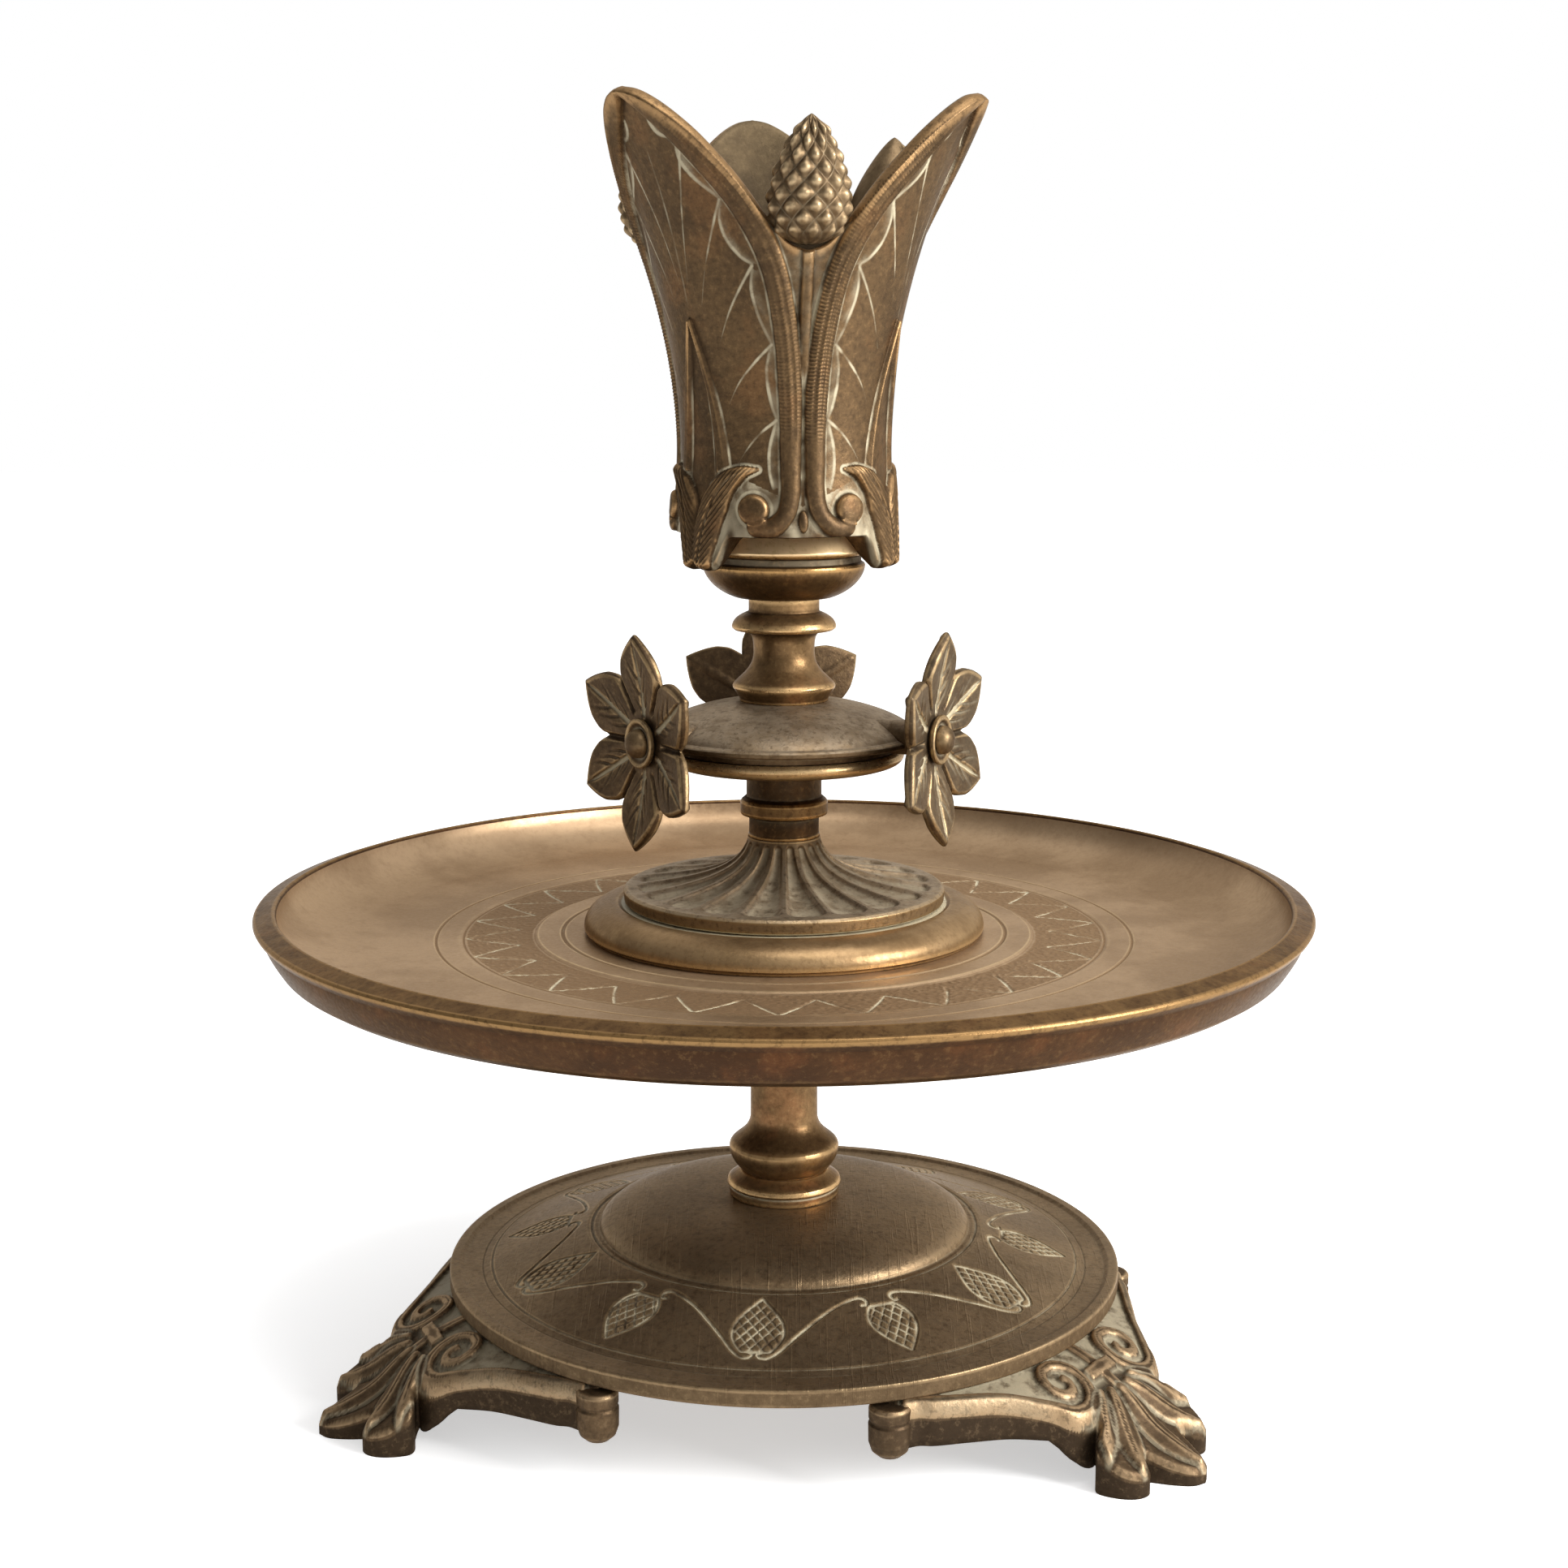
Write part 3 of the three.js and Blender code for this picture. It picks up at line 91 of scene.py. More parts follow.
def spline(points, count=8):
    """A smooth line through the points (Catmull-Rom)."""
    p = np.array(points, float)
    ends = np.vstack([2 * p[0] - p[1], p, 2 * p[-1] - p[-2]])
    t = np.linspace(0, 1, count, endpoint=False)[:, None]
    parts = []
    for a, b, c, d in zip(ends[:-3], ends[1:-2], ends[2:-1], ends[3:]):
        parts.append(0.5 * (2 * b + (c - a) * t + (2 * a - 5 * b + 4 * c - d) * t ** 2
                            + (3 * b - a - 3 * c + d) * t ** 3))
    return np.vstack(parts + [p[-1:]])


def distance(x, y, line):
    """Distance of the places (x, y) to a line, and the share of its length nearest to them."""
    line = np.asarray(line, float)
    steps = np.hypot(*(line[1:] - line[:-1]).T)
    before = np.concatenate([[0], np.cumsum(steps)])
    best = np.full(np.shape(x), 1e9)
    share = np.zeros(np.shape(x))
    for (ax, ay), (bx, by), start, step in zip(line[:-1], line[1:], before, steps):
        dx, dy = bx - ax, by - ay
        t = np.clip(((x - ax) * dx + (y - ay) * dy) / max(step * step, 1e-9), 0, 1)
        d = np.hypot(x - ax - t * dx, y - ay - t * dy)
        nearer = d < best
        best = np.where(nearer, d, best)
        share = np.where(nearer, (start + t * step) / before[-1], share)
    return best, share


def inside(x, y, outline):
    """Whether the places lie within a closed outline."""
    odd = np.zeros(np.shape(x), bool)
    outline = np.asarray(outline, float)
    for (ax, ay), (bx, by) in zip(outline, np.roll(outline, -1, axis=0)):
        if ay == by:
            continue
        crosses = ((ay > y) != (by > y)) & (x < (bx - ax) * (y - ay) / (by - ay) + ax)
        odd ^= crosses
    return odd


def smooth(x, low, high):
    t = np.clip((x - low) / (high - low), 0, 1)
    return t * t * (3 - 2 * t)


def groove(d, half_width):
    """Profile of an engraved line: 1 in its middle, 0 outside."""
    return np.clip(1 - (d / half_width) ** 2, 0, None)


def roll(d, half_width):
    """Profile of a raised half round."""
    return np.sqrt(groove(d, half_width))


def blurred(values, passes):
    """Box average over the neighbours; the second axis closes on itself."""
    v = values
    for _ in range(passes):
        v = (np.roll(v, 1, 1) + 2 * v + np.roll(v, -1, 1)) / 4
        v = (np.vstack([v[:1], v[:-1]]) + 2 * v + np.vstack([v[1:], v[-1:]])) / 4
    return v


def convexity(height, passes, scale, limit=1.2):
    """How far each place stands above its surroundings, with a limit both ways."""
    return np.clip((height - blurred(height, passes)) / scale, -limit, limit)


def cloudy(shape, passes):
    """Soft random clouds with mean 0 and spread 1."""
    clouds = blurred(rng.random(shape), passes)
    return (clouds - clouds.mean()) / clouds.std()


# Meshes

def piece(name, shape, nodes, finish):
    """A smooth mesh on the root body."""
    points, faces, edge, pale = shape
    mesh = bpy.data.meshes.new(name)
    mesh.vertices.add(len(points))
    mesh.vertices.foreach_set("co", (points * MM).astype(np.float32).ravel())
    loops = np.concatenate([part.ravel() for part in faces])
    sizes = np.concatenate([np.full(len(part), part.shape[1]) for part in faces])
    mesh.loops.add(len(loops))
    mesh.loops.foreach_set("vertex_index", loops.astype(np.int32))
    mesh.polygons.add(len(sizes))
    starts = np.concatenate([[0], np.cumsum(sizes)[:-1]])
    mesh.polygons.foreach_set("loop_start", starts.astype(np.int32))
    mesh.polygons.foreach_set("use_smooth", np.ones(len(sizes), bool))
    mesh.update()
    for key, values in (("edge", edge), ("pale", pale)):
        layer = mesh.attributes.new(key, "FLOAT", "POINT")
        layer.data.foreach_set("value", np.asarray(values, np.float32))
    obj = bpy.data.objects.new(name, mesh)
    bpy.context.scene.collection.objects.link(obj)
    mesh.materials.append(look[finish])
    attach(obj, "root")
    if nodes:
        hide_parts(*nodes)


def ring_faces(a, na, b, nb):
    """Faces between two rings of points that start at a and b; one count divides the other."""
    if na >= nb:
        m = na // nb
        k = np.arange(nb)
        fine = [a + (k * m + i) % na for i in range(m + 1)]
        return [np.stack(fine + [b + (k + 1) % nb, b + k], 1)]
    m = nb // na
    k = np.arange(na)
    fine = [b + (k * m + i) % nb for i in range(m, -1, -1)]
    return [np.stack([a + k, a + (k + 1) % na] + fine, 1)]


def strip(rings, count):
    """Faces between rings that follow one another, all with the same count of points."""
    return [part for i in range(rings - 1)
            for part in ring_faces(i * count, count, (i + 1) * count, count)]


def revolved(rows):
    """Shape of rings (radius, height, edge, pale) that each may have their own count of points."""
    points, faces, start = [], [], 0
    for i, (r, z, _, _) in enumerate(rows):
        n = len(r)
        angle = 2 * np.pi * np.arange(n) / n
        points.append(np.stack([r * np.sin(angle), -r * np.cos(angle), z], 1))
        if i + 1 < len(rows):
            faces += ring_faces(start, n, start + n, len(rows[i + 1][0]))
        start += n
    edge, pale = (np.concatenate([row[k] for row in rows]) for k in (2, 3))
    return np.vstack(points), faces, edge, pale


def rounded(path, fillet):
    """The path with small fillets at its corners, and how convex it is at each point."""
    nearly_straight, spacing, spread, arc_points = 0.2, 0.25, 0.45, 5
    p = [np.array(q, float) for q in path]
    found = [(p[0], 0.0)]
    for a, b, c in zip(p[:-2], p[1:-1], p[2:]):
        u, v = b - a, c - b
        lu, lv = np.hypot(*u), np.hypot(*v)
        u, v = u / lu, v / lv
        turn = math.atan2(u[0] * v[1] - u[1] * v[0], u @ v)
        if abs(turn) < nearly_straight:
            found.append((b, turn))
            continue
        cut = min(fillet * math.tan(min(abs(turn), 2.4) / 2), 0.4 * lu, 0.4 * lv)
        start, end = b - u * cut, b + v * cut
        if lu * 0.5 > cut + spacing:
            found.append((start - u * spacing, 0.0))
        for t in np.linspace(0, 1, arc_points):
            place = (1 - t) ** 2 * start + 2 * (1 - t) * t * b + t ** 2 * end
            found.append((place, turn / arc_points))
        if lv * 0.5 > cut + spacing:
            found.append((end + v * spacing, 0.0))
    found.append((p[-1], 0.0))
    out, turns = (np.array(part) for part in zip(*found))
    along = np.concatenate([[0], np.cumsum(np.hypot(*(out[1:] - out[:-1]).T))])
    reach = np.exp(-((along[:, None] - along[None, :]) / spread) ** 2)
    return out, np.clip(reach @ turns, -1.5, 1.5)


def rows_of(path, fillet=0.25, count=240, pale=0.0):
    """Rings of a turned path, which runs out along the bottom, up and back in."""
    points, convex = rounded(path, fillet)
    sunken = np.clip(-convex, 0, 1)
    return [(np.full(count, r), np.full(count, z), np.full(count, e), np.full(count, s * pale))
            for (r, z), e, s in zip(points, convex, sunken)]


def raised(path, z):
    """A path whose heights count from z."""
    return [(r, z + h) for r, h in path]


def turned(name, node, finish, path, fillet=0.2, count=240, pale=0.0):
    """A turned piece; its path gives radii and heights above the solid's seat."""
    rows = rows_of(raised(path, seat(node)), fillet, count, pale)
    piece(name, revolved(rows), [node], finish)


def swung(shape, azimuth):
    """A shape that was built along +X, turned to an azimuth."""
    points, *rest = shape
    a = math.radians(azimuth - 90)
    x, y, z = points.T
    turned_x = x * math.cos(a) - y * math.sin(a)
    turned_y = x * math.sin(a) + y * math.cos(a)
    return np.stack([turned_x, turned_y, z], 1), *rest


def lying(shape, reach):
    """A turned shape laid along +X at the flowers' height, its foot at a reach."""
    points, *rest = shape
    x, y, z = points.T
    return np.stack([reach + z, x, FLOWER_HEIGHT + y], 1), *rest


def joined(shapes):
    """Several shapes as one."""
    points, faces, edge, pale = zip(*shapes)
    starts = np.cumsum([0] + [len(p) for p in points])
    faces = [part + start for group, start in zip(faces, starts) for part in group]
    return np.vstack(points), faces, np.concatenate(edge), np.concatenate(pale)


# Materials

class Nodes:
    """The nodes of a material or of the world."""

    def __init__(self, owner):
        owner.use_nodes = True
        self.tree = owner.node_tree
        self.tree.nodes.clear()

    def make(self, kind, inputs=None, **settings):
        """A node whose inputs are numbers, colours or other nodes' outputs."""
        node = self.tree.nodes.new("ShaderNode" + kind)
        for key, value in settings.items():
            setattr(node, key, value)
        for key, value in (inputs or {}).items():
            if isinstance(value, (int, float, tuple)):
                node.inputs[key].default_value = value
            else:
                self.tree.links.new(value, node.inputs[key])
        return node

    def math(self, operation, a, b):
        return self.make("Math", {0: a, 1: b}, operation=operation).outputs[0]

    def ramp(self, value, low, high, first=0.0, last=1.0):
        values = {"Value": value, "From Min": low, "From Max": high, "To Min": first,
                  "To Max": last}
        node = self.make("MapRange", values, interpolation_type="SMOOTHSTEP")
        return node.outputs["Result"]

    def mixed(self, factor, a, b):
        """Colour a, giving way to colour b as the factor rises."""
        factor_in, a_in, b_in, colour_out = 0, 6, 7, 2
        node = self.make("Mix", {factor_in: factor, a_in: a, b_in: b}, data_type="RGBA")
        return node.outputs[colour_out]


def linear(red, green, blue):
    """A colour as the screen shows it, from 0 to 255, in the scene's own terms."""
    def one(value):
        v = value / 255
        return v / 12.92 if v <= 0.04045 else ((v + 0.055) / 1.055) ** 2.4
    return (one(red), one(green), one(blue), 1.0)


RESIDUE = linear(178, 167, 140)
DUST = linear(158, 142, 120)
WARM_SHINE = (0.6, 0.52, 0.44, 1.0)


def patina(name, base, dark, bright, rough, metal=0.75, soil_and_shade=0.5, dust=0.0, mottle=0.5,
           coppery=None, grain=0.25, scratches=0.0, speckle=0.5):
    """Old bronze: brown skin in uneven tones, rubbed edges, soil and pale residue in hollows, and
    painted shade where a piece sets its edge low.
    """
    material = bpy.data.materials.new(name)
    nodes = Nodes(material)
    ramp, mixed = nodes.ramp, nodes.mixed
    base, dark, bright = linear(*base), linear(*dark), linear(*bright)
    place = nodes.make("TexCoord").outputs["Object"]

    def noise(scale, detail=4.0, roughness=0.55, vector=place):
        values = {"Scale": scale, "Detail": detail, "Roughness": roughness, "Vector": vector}
        return nodes.make("TexNoise", values).outputs["Fac"]

    def times(a, b):
        return nodes.math("MULTIPLY", a, b)

    def plus(a, b):
        return nodes.math("ADD", a, b)

    broad, middle, fine = noise(55.0), noise(330.0, 5.0, 0.65), noise(1900.0, 3.0, 0.6)
    edge, pale = (nodes.make("Attribute", attribute_name=key).outputs["Fac"]
                  for key in ("edge", "pale"))
    colour = mixed(ramp(broad, 0.4, 0.62, 0.0, mottle), base, dark)
    colour = mixed(ramp(middle, 0.5, 0.72, 0.0, mottle * 0.6), colour, dark)
    if coppery:
        colour = mixed(ramp(noise(120.0), 0.5, 0.68, 0.0, 0.55), colour, linear(*coppery))
    uneven = times(nodes.math("SUBTRACT", middle, 0.5), 0.6)
    worn = ramp(plus(edge, uneven), 0.15, 0.85)
    # Darker where edge is low: soil in hollows, and painted shade on faces that a piece sets low.
    sunk = ramp(nodes.math("SUBTRACT", uneven, edge), 0.15, 0.85, 0.0, soil_and_shade)
    colour = mixed(sunk, colour, dark)
    colour = mixed(worn, colour, bright)
    if dust:
        normal = nodes.make("NewGeometry").outputs["Normal"]
        up = nodes.make("SeparateXYZ", {0: normal}).outputs["Z"]
        lying_dust = times(ramp(up, 0.35, 0.95), ramp(middle, 0.36, 0.62, 0.45, 1.0))
        colour = mixed(times(lying_dust, dust), colour, DUST)
    specks = noise(1050.0, 6.0, 0.7)
    colour = mixed(ramp(specks, 0.5, 0.64, 0.0, speckle * 0.6), colour, dark)
    colour = mixed(ramp(specks, 0.34, 0.48, speckle * 0.22, 0.0), colour, bright)
    filled = ramp(times(pale, ramp(middle, 0.3, 0.55, 0.55, 1.0)), 0.08, 0.85)
    colour = mixed(filled, colour, RESIDUE)

    gloss = ramp(fine, 0.25, 0.75, rough - 0.05, rough + 0.07)
    gloss = nodes.math("SUBTRACT", gloss, times(worn, 0.06))
    height = plus(fine, times(middle, 1.5))
    if scratches:
        values = {"Rotation": (0.0, 0.0, 0.35), "Scale": (1.0, 0.035, 0.06), "Vector": place}
        stretched = nodes.make("Mapping", values).outputs["Vector"]
        lines = ramp(noise(2600.0, 2.0, 0.5, stretched), 0.56, 0.7, 0.0, scratches)
        height = plus(height, times(lines, 4.0))
    bump = nodes.make("Bump", {"Strength": grain, "Distance": 0.00012, "Height": height})
    shader = nodes.make("BsdfPrincipled", {
        "Base Color": colour, "Specular Tint": WARM_SHINE, "Normal": bump.outputs["Normal"],
        "Metallic": times(ramp(filled, 0.0, 1.0, 1.0, 0.1), metal),
        "Roughness": plus(gloss, times(plus(sunk, filled), 0.2))})
    nodes.make("OutputMaterial", {"Surface": shader.outputs["BSDF"]})
    return material


look = {
    "base": patina("bronze_base", (132, 110, 82), (84, 67, 47), (164, 140, 104), rough=0.42,
                   soil_and_shade=0.9, dust=0.15, scratches=0.22, grain=0.35, speckle=0.8),
    "foot": patina("bronze_foot", (88, 70, 50), (50, 39, 28), (148, 124, 94), rough=0.48,
                   soil_and_shade=0.8, grain=0.4, speckle=0.8),
    "tray": patina("bronze_tray", (170, 143, 112), (134, 108, 80), (194, 168, 128), rough=0.38,
                   mottle=0.6, soil_and_shade=1.0, grain=0.12, speckle=0.4),
    "boss": patina("satin_ring", (146, 119, 85), (100, 76, 48), (188, 158, 114), rough=0.36,
                   mottle=0.7, grain=0.2),
    # Far lighter than the bowl's metal: a painted highlight on the bevel under the cup's skirt.
    "bevel": patina("bowl_bevel_painted_highlight", (206, 172, 128), (160, 126, 84), (226, 196, 150), rough=0.4,
                    soil_and_shade=0.6, grain=0.2),
    "neck": patina("stem_neck", (92, 68, 41), (50, 34, 19), (150, 116, 72), rough=0.36,
                   soil_and_shade=0.9, mottle=0.7, grain=0.3, speckle=0.8),
    "wall": patina("bronze_tray_wall", (66, 43, 24), (46, 28, 15), (132, 102, 64), rough=0.38,
                   mottle=0.7, coppery=(86, 52, 28), grain=0.2, speckle=0.7),
    "leaf": patina("bronze_leaf", (84, 65, 43), (52, 39, 26), (146, 115, 78), rough=0.44,
                   coppery=(102, 73, 46), soil_and_shade=0.7, mottle=0.6, grain=0.4, speckle=0.8),
    "cone": patina("bronze_cone", (118, 98, 72), (64, 50, 35), (158, 136, 104), rough=0.44,
                   soil_and_shade=0.7, grain=0.3, speckle=0.6),
    "inner": patina("bronze_leaf_inside", (98, 82, 58), (60, 48, 32), (136, 116, 86), rough=0.55,
                    metal=0.5, soil_and_shade=0.3, mottle=0.9, grain=0.4),
    "flower": patina("bronze_flower", (84, 66, 46), (48, 37, 27), (146, 122, 88), rough=0.46,
                     soil_and_shade=0.8, grain=0.4, speckle=0.8),
    "dusty": patina("bronze_dusty", (134, 112, 84), (66, 48, 29), (146, 121, 86), rough=0.46,
                    dust=0.8, mottle=0.8, grain=0.45, speckle=0.8),
    "brass": patina("brass_turned", (128, 100, 66), (74, 54, 33), (184, 150, 104), rough=0.36,
                    soil_and_shade=0.7, mottle=0.6, coppery=(146, 103, 68), speckle=0.7),
    "iron": patina("iron_fitting", (92, 84, 78), (52, 44, 40), (132, 122, 112), rough=0.6,
                   mottle=0.7, coppery=(112, 70, 44)),
}


# Base

def ogive(t, width):
    """Half width of an engraved pine cone, from its base (0) to its tip (1)."""
    t = np.clip(t, 0, 1)
    return width * np.sin(np.pi * (0.14 + 0.86 * t) ** 0.85)


def engraved_cone(across, along, length, width):
    """Depth of one engraved pine cone; along runs from its base to its tip."""
    t = along / length
    pitch = 1.35
    within = (t > 0) & (t < 1) & (np.abs(across) < ogive(t, width))
    sides = [(ogive(s, width), s * length) for s in np.linspace(0, 1, 28)]
    rim, _ = distance(np.abs(across), along, [(0, 0), *sides])
    lines = groove(rim, 0.32)
    for lean in (-1, 1):
        phase = (across * 0.86 + lean * (along - length) * 0.62) / pitch
        off = np.abs(phase - np.round(phase)) * pitch
        lines = np.maximum(lines, 0.85 * groove(off, 0.23) * within)
    return lines


# Angle and radius of the stroke that joins two engraved cones, and of its hook
S_CURVE = [(0.9, 42.3), (2.4, 42.4), (4.4, 41.3), (7.5, 38.7), (11.5, 36.0), (16, 33.7),
           (21, 32.1), (24.6, 31.5), (26.4, 32.0), (26.2, 33.0), (25, 33.0)]
HOOK = [(0.9, 42.3), (0.4, 41.6), (1.4, 41.3)]


def base_engraving(r, azimuth):
    """Depth of the engraving on the base, 0 to 1: pine cones joined by S curves."""
    half = 30
    rel = (azimuth - ENGRAVING_AZIMUTH + half) % (2 * half) - half
    side = np.abs(rel)
    strokes = [engraved_cone(np.radians(rel) * r, 41.2 - r, 10.4, 3.6),
               engraved_cone(np.radians(half - side) * r, r - 33.4, 9.4, 3.3)]
    for curve, width in ((S_CURVE, 0.32), (HOOK, 0.3)):
        angle, reach = spline(curve).T
        d, _ = distance(np.radians(side) * r, r, np.stack([np.radians(angle) * reach, reach], 1))
        strokes.append(groove(d, width))
    return np.maximum.reduce(strokes)


def engraving_grid(radii):
    """Radius and azimuth of each point of a finely engraved face."""
    return np.meshgrid(radii, 360 * np.arange(FINE) / FINE, indexing="ij")


def engraved_circles(r, circles):
    """Depth of circles, each given by its radius, half width and share of the full depth."""
    return np.maximum.reduce([share * groove(r - reach, half) for reach, half, share in circles])


def base():
    """The base disc: flat edge, engraved cone and pillow-shaped dome."""
    bottom, dome_top, rim = seat("base_disc"), top("base_disc"), radius_of("base_disc")
    edge_height, cone_height = 2.6, 4.8
    edge_top = bottom + edge_height
    cone_top = edge_top + cone_height
    under = [(11, dome_top - 6), (24, dome_top - 7.4), (30.2, cone_top - 2.5), (37.8, bottom),
             (rim, bottom), (rim, edge_top), (rim - 1.5, edge_top + 0.05),
             (rim - 2.1, edge_top - 0.4), (46.6, edge_top - 0.35)]
    # Below the edge's top, the rim's side and the underside are set low, which darkens them:
    # painted shade.
    rows = [(r, h, 0.3 * e - 0.8 * (h < edge_top - 0.4), 0.5 * p)
            for r, h, e, p in rows_of(under, 0.35, COARSE, 0.7)]
    r, azimuth = engraving_grid(np.arange(46.5, 28.4, -0.14))
    height = np.interp(r, [30.2, 43.4, 45.6, 46.5],
                       [cone_top, edge_top + 0.5, edge_top - 0.3, edge_top - 0.35])
    depth = base_engraving(r, azimuth)
    circles = engraved_circles(r, ((44.6, 0.2, 0.9), (46.0, 0.2, 0.6), (29.4, 0.3, 1.0)))
    height = height - 0.24 * depth - 0.14 * circles
    edge = convexity(height, 6, 0.06)
    filled = depth * (0.85 + 0.25 * cloudy(r.shape, 60))
    pale = np.clip(np.maximum(filled, 0.5 * circles), 0, 1)
    rows += zip(r, height, edge, pale)
    dome = [(28.35, cone_top), (28.2, cone_top + 0.15),
            *bezier((28.2, cone_top + 0.2), (27.6, dome_top - 1.7), (19.2, dome_top - 0.3),
                    (8.4, dome_top), 24), (BORE, dome_top)]
    rows += rows_of(dome, 0.15, COARSE, 0.8)[1:]
    piece("base", revolved(rows), ["base_disc"], "base")


# Turned pieces

def lower_stack():
    """The plain turned pieces from the dome's ring up to the knop's moulding."""
    r = radius_of("base_ring")
    turned("dome_ring", "base_ring", "brass", [
        (BORE, 0), (r - 0.4, 0), (r - 0.35, 1.2), (r - 0.5, 1.35), (r, 1.8), (r - 0.2, 2.5),
        (r - 0.9, 3.0), (6.6, 3.8), (BORE, 3.8)], 0.3, pale=0.8)

    h = tall("lower_baluster")
    turned("baluster", "lower_baluster", "brass", [
        (BORE, 0), (6.2, 0), *bezier((6.2, 0.05), (7.4, 0.9), (8.35, 2.2), (8.35, 3.8)),
        *bezier((8.3, 4.0), (8.15, 5.2), (5.4, 5.8), (5.1, 8.4)),
        (5.0, h - 9), (6.7, h - 7.6), (6.7, h - 6.4), (5.1, h - 5.4),
        *bezier((5.1, h - 5.3), (5.3, h - 3), (6.5, h - 1.7), (9.5, h - 1.6), 8),
        (9.5, h - 0.02), (BORE, h - 0.02)], 0.25)

    r, h = radius_of("boss_ring"), tall("boss_ring")
    path = [(BORE, 0.02), (r - 0.6, 0.02), (r - 0.45, 0.5), (r, 0.7),
            *bezier((r, 0.9), (r + 0.1, 3.1), (r - 2.2, h), (24.9, h), 16),
            (24.3, h - 0.25), (23.2, h - 0.2), (BORE, h - 0.2)]
    rows = [(r, z, e, np.maximum(p, 0.9 * smooth(-r, -24.6, -24.2)))
            for r, z, e, p in rows_of(raised(path, seat("boss_ring")), 0.2, 360, 0.3)]
    piece("boss", revolved(rows), ["boss_ring"], "boss")

    h, ring = tall("stem_collar"), 3.1
    turned("neck_collar", "stem_collar", "neck", [
        (BORE, 0), (5.35, 0), (5.35, 0.4), (5.2, 0.55), (5.2, ring - 0.1), (5.4, ring),
        (6.4, ring + 0.3), (6.5, ring + 0.6), (6.5, ring + 2.2), (6.3, ring + 2.5),
        (5.8, ring + 2.9), (5.6, ring + 3), (5.6, h - 1.2), (5.9, h - 0.9), (6.4, h - 0.02),
        (BORE, h - 0.02)], pale=0.3)

    h = tall("knop_ring")
    turned("knop_moulding", "knop_ring", "boss", [
        (BORE, 0), *bezier((15, 0), (18, 0), (18.4, h - 0.6), (17.2, h), 12),
        (16.8, h - 0.05), (BORE, h - 0.05)], count=300)


def knop():
    """The knop's disc, its side and underside darkened as painted shade, and the lugs behind its
    flowers.
    """
    z, h, r, edge = seat("knop_disc"), tall("knop_disc"), 20.4, 1.5
    path = [(BORE, 0.02), (17.0, 0.02), (17.1, 0.9), (17.6, edge - 0.25), (r - 0.25, edge - 0.1),
            (r, edge + 0.1), (r, edge + 0.6), (r - 0.3, edge + 0.85),
            *bezier((r - 0.9, edge + 1.1), (r - 2.4, edge + 3.1), (12.2, h - 0.6), (7.2, h), 22),
            (BORE, h)]
    # Below the top of its edge, the knop's side and underside are set low, which darkens them:
    # painted shade.
    rows = [(radius, height, np.where(height < z + edge + 0.75, -0.9, e), p)
            for radius, height, e, p in rows_of(raised(path, z), 0.2, 300, 0.4)]
    none = np.zeros(48)
    lug = revolved([(none + w, none + x, none, none)
                    for x, w in ((15.0, 2.5), (21.4, 2.5), (22.3, 2.7), (LUG_REACH, 2.5),
                                 (LUG_REACH, 0.1))])
    lugs = [swung(lying(lug, 0), FLOWER_AZIMUTH + 120 * k) for k in range(3)]
    piece("knop", joined([revolved(rows), *lugs]), ["knop_disc"], "dusty")


def upper_stack():
    """The spool and the bowl, with a skin on its bevel in a lighter colour: a painted highlight.
    """
    h = tall("upper_spool")
    turned("spool", "upper_spool", "brass", [
        (BORE, 0), (6.5, 0), (6.6, 0.5), (6.9, 0.95), (7.55, 2.0), (7.6, 2.3),
        *bezier((7.5, 2.5), (6.8, 3.6), (4.5, 4.6), (4.5, 7.2), 14),
        *bezier((4.5, 7.3), (4.5, 9.3), (4.7, 10), (5.5, 10.2), 8),
        (7.3, 10.5), (7.65, 10.8), (7.7, 11.1),
        *bezier((7.6, 11.4), (7.3, 12.4), (6.0, 12.9), (5.25, 13.2), 8),
        (5.2, 13.4), (5.2, h - 0.02), (BORE, h - 0.02)])

    h, lip = tall("cup_bowl"), 5
    turned("bowl", "cup_bowl", "neck", [
        (BORE, 0), (7.0, 0),
        *bezier((7.2, 0.05), (9.6, 0.8), (11.7, lip - 2.4), (11.9, lip - 0.3), 14),
        (11.8, lip), (11.3, lip + 0.3), (11.3, lip + 1.1), (11.9, lip + 1.4), (12.2, lip + 1.7),
        (12.15, lip + 2.1), (10.7, h - 0.02), (BORE, h - 0.02)], count=300, pale=0.3)
    # A thin skin over the bowl's bevel in a lighter material: a painted highlight where the skirt
    # above keeps the light off.
    bevel = [(11.6, lip + 1.75), (12.3, lip + 1.8), (12.4, lip + 2.1), (11.1, h - 0.3),
             (10.6, h - 0.25)]
    rows = rows_of(raised(bevel, seat("cup_bowl")), 0.12, 300)
    piece("bowl_bevel", revolved(rows), [], "bevel")


